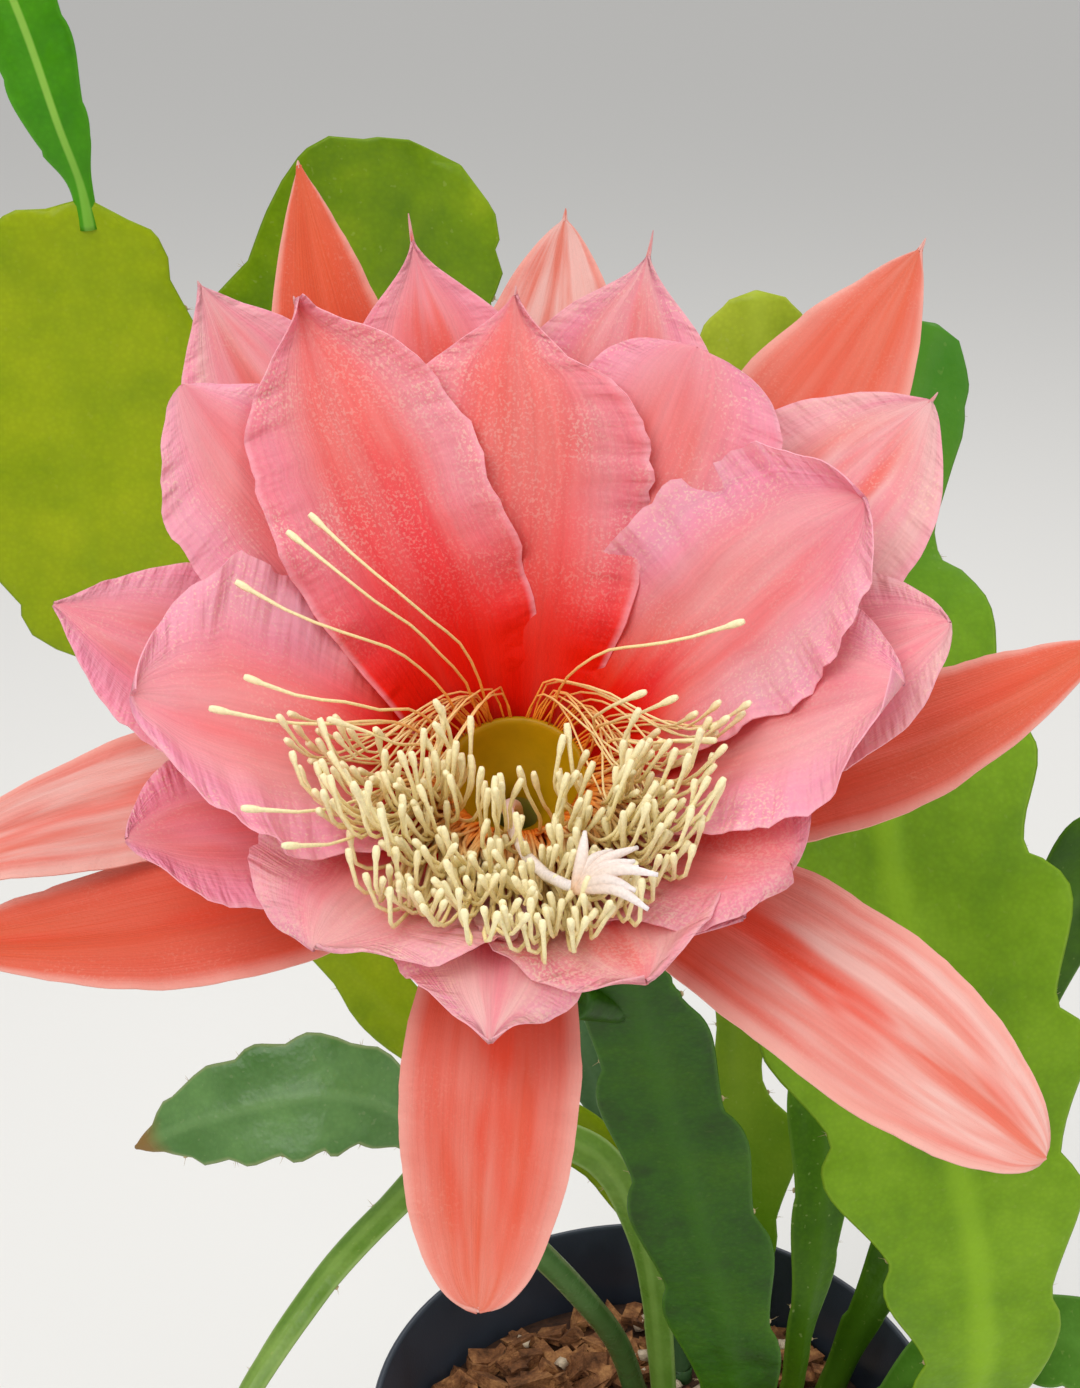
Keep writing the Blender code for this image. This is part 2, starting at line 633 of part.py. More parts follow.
# The flat stems
stems = {name: stem(name, spec) for name, spec in STEMS.items()}
shoot = add_object("shoot", *loft(blade_rings(SHOOT_PATH, (-75, 0), 4, 0.10, 0.2, (16, 1.7), 2.6)))
boolean(stems["stem_left"], [shoot], "UNION", "MANIFOLD")
peduncle_end = PEDUNCLE_START + PEDUNCLE_WAY * PEDUNCLE_LENGTH
peduncle = add_object("peduncle", *loft(tube_rings([PEDUNCLE_START, peduncle_end],
                                                   [PEDUNCLE_RADIUS * 0.8, PEDUNCLE_RADIUS], 8)))
boolean(stems["stem_bearing"], [peduncle], "UNION", "MANIFOLD")

# The floral tube: a funnel at the throat, and a bent tube down to the peduncle
inner = turned([(3, -CAVITY_DEPTH), (THROAT_RADIUS, FLANGE[0]), (THROAT_RADIUS, 1.2)], FLOWER_SIDES, flower)
outer = turned([(SLEEVE_RADIUS, 1.2), (SLEEVE_RADIUS, FLANGE[1]), (RING_RADIUS - 0.5, FLANGE[1]),
                (RING_RADIUS - 0.5, FLANGE[0]), (9.5, -20), (7, -33)], FLOWER_SIDES, flower)
bend_start = flower(0, 0, -33)
bend_end = peduncle_end + PEDUNCLE_WAY * GAP
bend_path = [bend_start, bend_start - FLOWER_AXIS * 11, bend_end + PEDUNCLE_WAY * 9, bend_end]
bend_radii = [7, 6.6, 6.1, 5.6, 5.0, 4.4, PEDUNCLE_RADIUS]
bend = []
previous = [p - bend_start for p in outer[-1]]
for i, radius in enumerate(bend_radii[1:], 1):
    at = (len(bend_path) - 1) * i / (len(bend_radii) - 1)
    centre = Vector(catmull(bend_path, at))
    ahead = Vector(catmull(bend_path, min(at + 0.1, len(bend_path) - 1)))
    behind = Vector(catmull(bend_path, at - 0.1))
    tangent = PEDUNCLE_WAY * -1 if i == len(bend_radii) - 1 else (ahead - behind).normalized()
    previous = [(v - tangent * v.dot(tangent)).normalized() * radius for v in previous]
    bend.append([centre + v for v in previous])
tube = add_object("floral_tube", *loft(inner + outer + bend), material("tube_green", (0.250, 0.240, 0.030), 0.5))

# The outer whorl of sepals on its ring
outer_finish = material("sepal_coral", (0.750, 0.130, 0.050), 0.5)
outer_tepals = washer("outer_tepals", SLEEVE_RADIUS + GAP, RING_RADIUS, OUTER_RING, outer_finish)
sepals = [add_object("sepal", *petal_body(sepal_spec(row), 7, 2, SEPAL_THICKNESS)) for row in OUTER_SEPALS]
boolean(outer_tepals, sepals, "UNION", "MANIFOLD")

# The pink petals, two whorls on one ring
inner_finish = material("petal_pink", (0.800, 0.180, 0.220), 0.5)
inner_tepals = washer("inner_tepals", SLEEVE_RADIUS + GAP, RING_RADIUS, INNER_RING, inner_finish)
petals = []
for row in MIDDLE_PETALS:
    spec = petal_spec(row, (13, -3.4), PETAL_BASE, PETAL_CUP)
    petals.append(add_object("petal", *petal_body(spec, 6, 2, PETAL_THICKNESS)))
for row in INNER_PETALS:
    spec = petal_spec(row, (11.6, -2.2), PETAL_BASE, PETAL_CUP)
    petals.append(add_object("petal", *petal_body(spec, 7, 4, PETAL_THICKNESS)))
boolean(inner_tepals, petals, "UNION", "MANIFOLD")

# The style, up through the throat and over to the near side, with its spread stigma
style_curve = fine([Vector(p) for p in STYLE_PATH], 20)
style_radii = [1.3] * 2 + [STYLE_RADIUS] * 11
style_points = [flower(*p) for p in STYLE_PATH]
style = add_object("style", *loft(tube_rings(style_points, style_radii, 6)),
                   material("stigma_white", (0.900, 0.720, 0.660), 0.5))
lobe_root = Vector(STYLE_PATH[-1]) - Vector((1.2, 0.3, 0.4))
lobes = []
lobe_curves = []
for bearing in LOBE_BEARINGS:
    way = lobe_way(bearing)
    end = lobe_root + way * LOBE_LENGTH
    middle = lobe_root + way * LOBE_LENGTH * 0.5 + Vector((0, 0, 0.9))
    lobe_curves.append(fine([lobe_root, middle, end], 6))
    rings = tube_rings([flower(*lobe_root), flower(*middle), flower(*end)], [0.7, 0.85, 0.45], 4)
    lobes.append(add_object("lobe", *loft(rings)))
boolean(style, lobes, "UNION", "MANIFOLD")

# The stamens: a crowd on the near side and some long ones over the petals, all off one ring
style_clear = style_curve + [p for curve in lobe_curves for p in curve]
petal_clear = []
for row in INNER_PETALS + MIDDLE_PETALS:
    spec = petal_spec(row, (11.6, -2.2), PETAL_BASE, PETAL_CUP)
    for i in range(3, 15):
        for j in range(9):
            point = petal_point(spec, i / 14, j / 4 - 1) - THROAT
            petal_clear.append(Vector((point.dot(FLOWER_RIGHT), point.dot(FLOWER_UP), point.dot(FLOWER_AXIS))))
draw = random.Random(21)
paths = []
for foot, bearing, reach, height in LONG_STAMENS:
    around = math.radians(bearing)
    tip = (reach * math.cos(around), reach * math.sin(around), height)
    outward = Vector((0.9 * math.cos(around), 0.9 * math.sin(around), 0.45))
    path = stamen_path(math.radians(foot), 10, tip, outward, 0.30)
    while nearest(fine(path)[5:], petal_clear) < PETAL_CLEARANCE:
        tip = (tip[0], tip[1], tip[2] + 1)
        path = stamen_path(math.radians(foot), 10, tip, outward, 0.30)
    paths.append(path)
crowd = 0
while crowd < CROWDED_STAMENS:
    share = (crowd + draw.random()) / CROWDED_STAMENS
    around = math.radians(212 + 132 * share + draw.uniform(-12, 12))
    reach = draw.uniform(21, 41)
    height = 15 + 0.18 * reach + draw.uniform(0, 8)
    tip = (reach * math.cos(around), reach * math.sin(around), height)
    upwards = Vector((0, draw.uniform(0.3, 1.0), 1))
    path = stamen_path(math.radians(165 + 210 * share), 10 + crowd % 2, tip, upwards, 0.22)
    line = fine(path)
    if nearest(line, style_clear) < STYLE_CLEARANCE or nearest(line[5:], petal_clear) < PETAL_CLEARANCE:
        continue
    paths.append(path)
    crowd += 1
filament_radii = [FILAMENT_RADIUS] * 5 + [ANTHER_RADIUS, 0.5]
stamens = washer("stamens", SLEEVE_RADIUS + GAP, 11.2, STAMEN_RING,
                 material("anther_cream", (0.880, 0.740, 0.400), 0.6))
filaments = []
for path in paths:
    length = sum((q - p).length for p, q in zip(path, path[1:]))
    share = 1 - ANTHER_LENGTH / length
    places = [share * i / 4 for i in range(5)] + [share + (1 - share) * f for f in (0.35, 1.0)]
    centres = [Vector(catmull(path, (len(path) - 1) * p)) for p in places]
    rings = []
    side = None
    for i, (centre, radius) in enumerate(zip(centres, filament_radii)):
        tangent = (centres[min(i + 1, len(centres) - 1)] - centres[max(i - 1, 0)]).normalized()
        side = (tangent.orthogonal() if side is None else side - tangent * side.dot(tangent)).normalized()
        other = tangent.cross(side)
        corners = (side, other * 0.87 - side * 0.5, -other * 0.87 - side * 0.5)
        rings.append([flower(*(centre + corner * radius)) for corner in corners])
    filaments.append(add_object("filament", *loft(rings)))
boolean(stamens, filaments, "UNION", "MANIFOLD")
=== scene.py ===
# Orchid cactus with one open flower, in a nursery pot of bark mix.
# Lengths in the dictionaries are millimetres, and mm turns them to metres.
import math
import random
import bpy
from mathutils import Matrix, Vector, kdtree, noise


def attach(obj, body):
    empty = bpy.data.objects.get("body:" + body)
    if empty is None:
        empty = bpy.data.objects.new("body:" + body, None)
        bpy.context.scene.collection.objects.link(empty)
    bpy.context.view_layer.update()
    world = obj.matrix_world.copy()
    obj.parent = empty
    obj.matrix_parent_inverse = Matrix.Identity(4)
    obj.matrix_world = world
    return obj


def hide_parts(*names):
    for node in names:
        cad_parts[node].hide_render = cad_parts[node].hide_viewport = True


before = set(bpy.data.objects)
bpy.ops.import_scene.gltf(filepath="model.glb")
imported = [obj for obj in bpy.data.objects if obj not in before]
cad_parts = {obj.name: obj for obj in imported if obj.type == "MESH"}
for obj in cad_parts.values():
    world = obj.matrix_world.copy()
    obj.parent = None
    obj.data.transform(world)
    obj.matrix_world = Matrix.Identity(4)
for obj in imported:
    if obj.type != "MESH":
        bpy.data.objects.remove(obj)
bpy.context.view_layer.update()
mm = 0.001
turn = 2 * math.pi


# ---- small tools

def hexToLinear(code):
    channels = [int(code[i:i + 2], 16) / 255 for i in (1, 3, 5)]
    return [c / 12.92 if c <= 0.04045 else ((c + 0.055) / 1.055) ** 2.4 for c in channels] + [1.0]


def addNode(tree, kind, inputs=None, **settings):  # a node among the inputs gives its first output in use
    node = tree.nodes.new("ShaderNode" + kind)
    for key, value in settings.items():
        setattr(node, key, value)
    for key, value in (inputs or {}).items():
        if isinstance(value, bpy.types.Node):
            value = next(out for out in value.outputs if out.enabled)
        if isinstance(value, bpy.types.NodeSocket):
            tree.links.new(value, node.inputs[key])
        else:
            node.inputs[key].default_value = value
    return node


def newMaterial(name):
    made = bpy.data.materials.new(name)
    made.use_nodes = True
    made.node_tree.nodes.clear()
    return made, made.node_tree


def setStops(node, stops):  # colour ramp stops as (place, hex)
    ramp = node.color_ramp
    while len(ramp.elements) < len(stops):
        ramp.elements.new(0.5)
    for element, (place, code) in zip(ramp.elements, stops):
        element.position = place
        element.color = hexToLinear(code)


def cloudColour(tree, stops, scale, detail, roughness=0.5):  # a ramp of colours by soft noise over the piece
    spot = addNode(tree, "TexCoord").outputs["Object"]
    cloud = addNode(tree, "TexNoise", {"Vector": spot, "Scale": scale, "Detail": detail, "Roughness": roughness})
    ramp = addNode(tree, "ValToRGB", {0: cloud})
    setStops(ramp, stops)
    return spot, ramp, cloud


def setSurface(tree, body, through=0.0, **glow):  # ends a material, with light coming through where it is thin
    surface = addNode(tree, "BsdfPrincipled", body)
    if through:
        glowing = addNode(tree, "BsdfTranslucent", {"Color": body["Base Color"], **glow})
        surface = addNode(tree, "MixShader", {0: through, 1: surface, 2: glowing})
    addNode(tree, "OutputMaterial", {0: surface})


def deselectAll():
    for each in list(bpy.context.selected_objects):
        each.select_set(False)


def pick(piece):
    deselectAll()
    piece.select_set(True)
    bpy.context.view_layer.objects.active = piece


def smooth(value, low, high):
    share = min(1.0, max(0.0, (value - low) / (high - low)))
    return share * share * (3 - 2 * share)


def catmull(points, at):  # smooth curve through points, at 0 to len(points) - 1
    span = max(0, min(int(at), len(points) - 2))
    u = at - span
    a, b = points[span], points[span + 1]
    before, after = points[max(span - 1, 0)], points[min(span + 2, len(points) - 1)]
    return [q + 0.5 * u * (r - p + u * (2 * p - 5 * q + 4 * r - s + u * (3 * (q - r) + s - p)))
            for p, q, r, s in zip(before, a, b, after)]


def addGrid(name, columns, rows):  # flat sheet, x and y from -1 to 1
    deselectAll()
    bpy.ops.mesh.primitive_grid_add(x_subdivisions=columns, y_subdivisions=rows, size=2)
    bpy.context.object.name = name
    return bpy.context.object


def addTube(name, sides, cuts):  # closed tube, x and y on the unit circle, z from 0 to 1
    deselectAll()
    bpy.ops.mesh.primitive_cylinder_add(vertices=sides, radius=1, depth=1, location=(0, 0, 0.5))
    tube = bpy.context.object
    tube.name = name
    bpy.ops.object.transform_apply(location=True)
    bpy.ops.object.mode_set(mode="EDIT")
    bpy.ops.mesh.select_mode(type="EDGE")
    bpy.ops.mesh.select_all(action="DESELECT")
    bpy.ops.object.mode_set(mode="OBJECT")
    for edge in tube.data.edges:
        a, b = (tube.data.vertices[i].co for i in edge.vertices)
        edge.select = abs(a.z - b.z) > 0.5
    bpy.ops.object.mode_set(mode="EDIT")
    bpy.ops.mesh.subdivide(number_cuts=cuts)
    bpy.ops.object.mode_set(mode="OBJECT")
    return tube


def copyOf(template, name):  # a copy with its own mesh
    made = bpy.data.objects.new(name, template.data.copy())
    bpy.context.scene.collection.objects.link(made)
    return made


def discard(piece):
    bpy.data.objects.remove(piece)


def addModifier(piece, kind, **settings):
    modifier = piece.modifiers.new(kind.lower(), kind)
    for key, value in settings.items():
        setattr(modifier, key, value)
    pick(piece)
    bpy.ops.object.modifier_apply(modifier=modifier.name)


def setSpread(piece, name, values):  # a number at each point, or one for all, that the material reads
    points = len(piece.data.vertices)
    spread = piece.data.attributes.new(name, "FLOAT", "POINT")
    spread.data.foreach_set("value", values if isinstance(values, list) else [values] * points)


def joinAll(pieces, name):
    deselectAll()
    for each in pieces:
        each.select_set(True)
    bpy.context.view_layer.objects.active = pieces[0]
    if len(pieces) > 1:
        bpy.ops.object.join()
    pieces[0].name = name
    return pieces[0]


def shadeSmooth(piece, angle=180):
    pick(piece)
    if angle < 180:
        bpy.ops.object.shade_smooth_by_angle(angle=math.radians(angle))
    else:
        bpy.ops.object.shade_smooth()


def turnOutwards(piece):
    pick(piece)
    bpy.ops.object.mode_set(mode="EDIT")
    bpy.ops.mesh.select_all(action="SELECT")
    bpy.ops.mesh.normals_make_consistent(inside=False)
    bpy.ops.object.mode_set(mode="OBJECT")


def setMaterials(piece, *materials):
    while len(piece.data.materials) < len(materials):
        piece.data.materials.append(None)
    for i, each in enumerate(materials):
        piece.data.materials[i] = each


def finishPiece(parts, name, materials, slotName, *nodes, angle=180):  # joined, dressed and put in its place
    piece = joinAll(parts, name)
    setMaterials(piece, *materials)
    shadeSmooth(piece, angle)
    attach(piece, "root")
    if nodes:
        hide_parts(*nodes)
    return piece


def setSpreads(piece, spreads):
    for name, values in spreads.items():
        setSpread(piece, name, values)


def raiseWall(profile):  # the flat disc in hand grows through each (radius, level)
    bpy.ops.object.mode_set(mode="EDIT")
    for (r0, z0), (r1, z1) in zip(profile, profile[1:]):
        bpy.ops.mesh.extrude_region_move(TRANSFORM_OT_translate={"value": (0, 0, (z1 - z0) * mm)})
        bpy.ops.transform.resize(value=(r1 / r0, r1 / r0, 1), center_override=(0, 0, z1 * mm))
    bpy.ops.object.mode_set(mode="OBJECT")


# ---- camera and light

cameraPlace = {"location": (-0.030, -0.3975, 0.520), "lookDown": 24.7, "lens": 52.65}
deselectAll()
bpy.ops.object.camera_add(location=cameraPlace["location"],
                          rotation=(math.radians(90 - cameraPlace["lookDown"]), 0, 0))
camera = bpy.context.object
camera.data.lens = cameraPlace["lens"]
camera.data.sensor_width = 36
camera.data.clip_start = 0.01
camera.data.clip_end = 60
bpy.context.scene.camera = camera

studio = {  # soft boxes: place and what they look at in metres, size, watts
    "key": ((-0.55, -0.95, 1.35), (-0.02, -0.10, 0.36), 0.9, 12.5),
    "fill": ((1.10, -0.70, 0.85), (0.0, -0.05, 0.30), 1.1, 4.2),
    "top": ((0.15, 0.55, 1.45), (0.0, 0.0, 0.30), 1.0, 7.5),
}
for name, (place, aim, size, watts) in studio.items():
    bpy.ops.object.light_add(type="AREA", location=place)
    lamp = bpy.context.object
    lamp.name = name
    lamp.data.size = size
    lamp.data.energy = watts
    lamp.rotation_euler = (Vector(aim) - Vector(place)).to_track_quat("-Z", "Y").to_euler()
world = bpy.data.worlds.new("paleRoom")
world.use_nodes = True
world.node_tree.nodes["Background"].inputs["Color"].default_value = hexToLinear("#f3f4f5")
world.node_tree.nodes["Background"].inputs["Strength"].default_value = 0.64
bpy.context.scene.world = world
bpy.context.scene.view_settings.view_transform = "Standard"
print("camera and light stand")


# ---- petals

flowerPlace = {"throat": Vector((-33.4, -139, 388)), "axisRise": math.radians(60)}
flowerUp = Vector((0, math.sin(flowerPlace["axisRise"]), math.cos(flowerPlace["axisRise"])))
flowerAxis = Vector((0, -math.cos(flowerPlace["axisRise"]), math.sin(flowerPlace["axisRise"])))


def inFlower(x, y, z):  # a point of the flower's own frame: right, up, and out along its axis
    return flowerPlace["throat"] + Vector((x, 0, 0)) + flowerUp * y + flowerAxis * z


# Silky living tissue, thin enough to glow where light comes through, with a cell grain in its bump and painted glints
# of the cells in its colour
def petalTissue(name, look):
    made, tree = newMaterial(name)
    uv = addNode(tree, "UVMap", uv_map="UVMap")
    place = addNode(tree, "SeparateXYZ", {0: uv})
    across, along = place.outputs[0], place.outputs[1]
    seed, reach, pink, pale, streak, sparkle = (
        addNode(tree, "Attribute", attribute_name=key).outputs["Fac"]
        for key in ("seed", "reach", "pink", "pale", "streak", "sparkle"))
    spot = addNode(tree, "TexCoord").outputs["Object"]
    # how far from the midrib, 0 to 1 at the margin
    centred = addNode(tree, "Math", {0: across, 1: 2.0, 2: -1.0}, operation="MULTIPLY_ADD")
    side = addNode(tree, "Math", {0: centred}, operation="ABSOLUTE")

    # drawn out along the petal: soft blotches, streaks, veins 0.7 mm apart, and wrinkles 2 mm apart at the margins
    blotch, streakNoise, vein, wrinkle = (
        addNode(tree, "TexNoise", {
            "Vector": addNode(tree, "VectorMath", {0: uv, 1: stretch}, operation="MULTIPLY"), "W": seed,
            "Scale": 1.0, "Detail": detail, "Roughness": roughness}, noise_dimensions="4D")
        for stretch, detail, roughness in (
            ((5.0, 1.6, 1.0), 3.0, 0.55), (look["streakStretch"], 2.0, 0.5), ((46.0, 2.0, 1.0), 2.0, 0.6),
            ((3.0, 26.0, 1.0), 2.0, 0.5)))
    # the ramp from throat to tip, its boundary moved by the blotches
    moved = addNode(tree, "Math", {0: blotch, 1: look["blotch"], 2: along}, operation="MULTIPLY_ADD")
    shifted = addNode(tree, "Math", {0: moved, 1: look["blotch"] / 2}, operation="SUBTRACT")
    lifted = addNode(tree, "Math", {0: side, 1: look["sideLift"], 2: shifted}, operation="MULTIPLY_ADD")
    scaled = addNode(tree, "Math", {0: lifted, 1: reach}, operation="DIVIDE")
    colour = addNode(tree, "ValToRGB", {0: scaled})
    setStops(colour, look["ramp"])
    # painted glints: pale specks of 0.5 mm painted where the cells would catch the light, in patches; the same grain
    # noise also makes the bump
    grain, glintPatch = (addNode(tree, "TexNoise", {"Vector": spot, "Scale": scale, "Detail": detail})
                         for scale, detail in ((2500.0, 1.0), (90.0, 2.0)))
    glintMore = addNode(tree, "Math", {0: sparkle, 1: 0.09, 2: grain}, operation="MULTIPLY_ADD")

    # where each look sets in and where it is whole, then how much of it there is at both
    edgeShare, tipShare, streakFade, streakBand, streakTip, rimShare, wrinkleFade = (
        addNode(tree, "MapRange", {"Value": value, "From Min": low, "From Max": high, "To Min": least,
                                   "To Max": most}, interpolation_type="SMOOTHSTEP")
        for value, low, high, least, most in (
            (side, 0.25, 0.80, 0.28, 1.0), (along, 0.12, 0.42, 0.0, 1.0), (side, 0.75, 0.1, 0.0, 1.0),
            (streakNoise, 0.42, 0.62, 0.0, 1.0), (along, 0.93, 0.6, 0.0, 1.0),
            (side, look["rimFrom"], 1.0, 0.0, look["rimShare"]), (side, 0.35, 0.95, 0.0, 1.0)))
    paleNoise, veinTone, glintHigh, glintPlace, glintEdge = (
        addNode(tree, "MapRange", {"Value": value, "From Min": low, "From Max": high, "To Min": least,
                                   "To Max": most})
        for value, low, high, least, most in (
            (blotch, 0.38, 0.62, 0.25, 1.5), (vein, 0.3, 0.7, 1 - look["vein"], 1 + look["vein"]),
            (glintMore, look["glintFrom"], look["glintFrom"] + 0.12, 0.0, 1.0),
            (glintPatch, 0.4, 0.62, 0.15, 1.0), (side, 0.3, 1.0, 0.35, 1.0)))
    # laid over one another: cooler pink to the margin and the tip, paler blades, a warm streak up the middle,
    # the veins, the painted glints of the cells and a thin bright rim
    for key, first, *factors in (
            ("pink", edgeShare, tipShare, pink), ("pale", tipShare, paleNoise, pale),
            ("streak", streakFade, streakBand, streakTip, streak),
            ("glintColour", glintHigh, glintPlace, glintEdge, tipShare, look["grain"]), ("rim", rimShare)):
        if key == "glintColour":
            colour = addNode(tree, "VectorMath", {0: colour, "Scale": veinTone}, operation="SCALE")
        for factor in factors:
            first = addNode(tree, "Math", {0: first, 1: factor}, operation="MULTIPLY")
        colour = addNode(tree, "Mix", {0: first, 6: colour, 7: hexToLinear(look[key])}, data_type="RGBA")

    wrinkled = addNode(tree, "Math", {0: wrinkle, 1: wrinkleFade}, operation="MULTIPLY")
    wrinkleBump = addNode(tree, "Bump", {"Height": wrinkled, "Strength": look["wrinkle"], "Distance": 0.0016})
    veinBump = addNode(tree, "Bump", {"Height": vein, "Strength": 0.4, "Distance": 0.0004, "Normal": wrinkleBump})
    grainBump = addNode(tree, "Bump", {"Height": grain, "Strength": 0.25, "Distance": 0.0002, "Normal": veinBump})
    setSurface(tree, {"Base Color": colour, "Roughness": look["roughness"], "IOR": 1.40, "Specular IOR Level": 0.22,
                      "Sheen Weight": 0.06, "Sheen Roughness": 0.4, "Normal": grainBump},
               look["through"], Normal=veinBump)
    return made


petalLook = {
    "ramp": [(0.0, "#f01600"), (0.23, "#f82006"), (0.30, "#fa4026"), (0.42, "#f86c54"), (0.72, "#f68276"),
             (1.0, "#f4949c")],
    "pink": "#f9a6c2", "pale": "#f6c8c6", "streak": "#f06a58", "blotch": 0.42, "sideLift": 0.16, "vein": 0.05,
    # grain sets how strong the painted glints of the cells are, and the grain colour is their pale colour
    "grain": 0.9, "glintFrom": 0.56, "glintColour": "#fddccb", "rim": "#fbc2cc", "rimShare": 0.6, "rimFrom": 0.92,
    "roughness": 0.44, "through": 0.36, "wrinkle": 0.8, "streakStretch": (4.6, 1.7, 1.0),
}
petalBackLook = dict(petalLook, ramp=[(0.0, "#ee7a60"), (0.3, "#f08c80"), (0.7, "#f0989a"), (1.0, "#f0a0a8")],
                     pink="#f6acb8", grain=0.3, roughness=0.5)
sepalLook = dict(petalLook, ramp=[(0.0, "#e0522a"), (0.35, "#e25634"), (0.7, "#e46038"), (1.0, "#e26840")],
                 pink="#ec8478", pale="#f0c2b8", streak="#ea563c", sideLift=0.0, vein=0.03, grain=0.2,
                 glintColour="#f4c0a8", rim="#f4bcae", rimShare=0.7, rimFrom=0.76, roughness=0.4, through=0.26,
                 wrinkle=0.25, streakStretch=(3.4, 2.6, 1.0))
sepalBackLook = dict(sepalLook, ramp=[(0.0, "#c96a34"), (0.4, "#d0603c"), (1.0, "#d2694a")], roughness=0.45)

petalFace = petalTissue("petalTissueFace", petalLook)
petalBack = petalTissue("petalTissueBack", petalBackLook)
sepalFace = petalTissue("sepalTissueFace", sepalLook)
sepalBack = petalTissue("sepalTissueBack", sepalBackLook)

# bearing, reach, height, wide, rise at the root and at the tip, widest place, bluntness, ruffle, its
# phase, layer; then how far the red reaches, pinkness, paleness, streak, crinkle, the tip's spine, and how
# far each of its two margins lies over (+) or under (-) the neighbours
innerPetals = [
    (121, 61, 42, 37, 62, 38, 0.60, 0.80, 1.2, 0.0, 1.0, 1.30, 0.65, 0.20, 0.2, 1.3, 0.8, 3.0, 2.4),
    (90, 54, 42, 39, 62, 45, 0.58, 0.75, 1.2, 2.0, 0.2, 1.30, 0.55, 0.20, 0.3, 1.4, 1.2, 1.8, -3.0),
    (141, 58, 42, 31, 60, 40, 0.68, 0.55, 1.0, 1.0, -0.9, 0.90, 0.95, 0.30, 0.0, 1.0, 0, -2.2, -2.4),
    (190, 50, 31, 45, 50, 28, 0.66, 0.50, 1.6, 3.0, 0.9, 0.85, 1.00, 0.30, 0.0, 1.2, 0, 1.8, 1.8),
    (61, 52, 40, 34, 58, 38, 0.72, 0.30, 1.2, 4.0, -0.9, 0.95, 0.75, 0.20, 0.3, 1.2, 0, -3.4, -2.2),
    (24, 52, 35.5, 39, 55, 32, 0.66, 0.50, 1.8, 1.0, 0.9, 0.78, 1.00, 0.35, 0.0, 1.5, 0, 1.6, 2.2),
    (352, 50, 33, 39, 50, 28, 0.66, 0.50, 1.5, 5.0, 0.0, 0.72, 0.95, 0.40, 0.0, 1.4, 0, 1.4, -1.8),
    (322, 44, 23, 35, 38, 18, 0.66, 0.50, 1.4, 2.0, -0.9, 0.90, 0.55, 0.15, 0.2, 1.4, 0, -1.2, -1.2),
    (291, 46, 19, 33, 31, 14, 0.66, 0.55, 1.4, 3.0, 0.6, 0.95, 0.50, 0.50, 0.3, 1.5, 0, 1.2, 1.2),
    (267, 50, 18, 27, 30, -6, 0.58, 0.80, 1.6, 0.0, -0.3, 0.50, 0.95, 0.75, 0.0, 1.1, 0, -1.0, -1.0),
    (238, 46, 21, 37, 35, 18, 0.66, 0.55, 1.2, 4.0, 0.5, 0.75, 0.80, 0.50, 0.0, 1.3, 0, -1.2, 1.2),
]
middlePetals = [
    (127, 76, 38, 32, 45, 35, 0.62, 0.90, 0.0, 0.0, -1.2, 0.70, 0.75, 0.55, 0.7, 0.5, 0.8, 0, 0),
    (103, 66, 43, 33, 50, 40, 0.60, 0.95, 0.0, 0.0, -1.4, 0.85, 0.60, 0.25, 1.0, 0.4, 3.2, 0, 0),
    (73, 64, 43, 36, 50, 40, 0.60, 0.85, 0.0, 0.0, -1.4, 0.70, 0.75, 0.50, 0.9, 0.5, 3.0, 0, 0),
    (37, 74, 31, 36, 40, 25, 0.62, 0.60, 0.0, 0.0, -1.2, 0.60, 0.70, 0.80, 1.0, 0.4, 1.6, 0, 0),
    (6, 58, 29, 32, 40, 25, 0.66, 0.48, 0.0, 0.0, -1.0, 0.60, 0.90, 0.65, 0.5, 0.5, 0, 0, 0),
    (170, 63, 27, 32, 42, 25, 0.62, 0.80, 0.0, 0.0, -1.0, 0.60, 0.95, 0.25, 0.4, 0.6, 0, 0, 0),
    (205, 54, 22, 27, 40, 28, 0.66, 0.60, 0.0, 0.0, -1.0, 0.60, 0.90, 0.25, 0.5, 0.6, 0, 0, 0),
    (315, 42, 13, 29, 28, 8, 0.62, 0.80, 0.0, 0.0, -1.0, 0.70, 0.80, 0.25, 0.3, 0.6, 0, 0, 0),
]
# the same, with how far the tip swings sideways in place of the ruffle, its phase and the layer
outerSepals = [
    (123, 86, 42, 23, 25, 32, 0.55, 0.90, -17, 1.0, 0.20, 0.00, 0.5, 1.0),
    (87, 80, 33, 26, 20, 30, 0.60, 0.75, -3, 1.0, 0.60, 1.00, 0.1, 1.6),
    (50, 104, 24, 28, 15, 15, 0.60, 0.85, 5, 1.0, 0.35, 0.15, 0.6, 2.0),
    (358, 88, 1, 24, 10, 5, 0.50, 0.80, 27, 1.0, 0.25, 0.05, 0.6, 0.6),
    (325.5, 88, -1, 27, 10, -5, 0.60, 0.50, -8.5, 1.0, 0.60, 0.75, 1.0, 0),
    (265.5, 77, 0, 23.5, 10, -5, 0.52, 0.42, 2, 1.0, 0.35, 0.22, 1.0, 0.6),
    (212, 82, -4, 23, 10, 0, 0.50, 0.70, -22, 1.0, 0.25, 0.05, 0.6, 2),
    (172, 80, 4, 24, 12, 5, 0.55, 0.70, 30, 1.0, 0.60, 0.80, 0.6, 2),
]
petalQuirks = {  # by bearing: a narrower side, a tip drawn out, a shoulder, more sparkling cells
    121: {"slim": 0.22, "ogee": 0.55, "sparkle": 0.5}, 90: {"notch": 0.4, "ogee": 0.55, "sparkle": 0.5},
    61: {"ogee": 0}, 103: {"ogee": 0.5}, 73: {"ogee": 0.5}, 24: {"sparkle": 0.3}, 322: {"sparkle": 1.0},
    291: {"sparkle": 1.0}, 267: {"sparkle": 1.0}, 238: {"sparkle": 0.9}, 352: {"sparkle": 0.6},
}
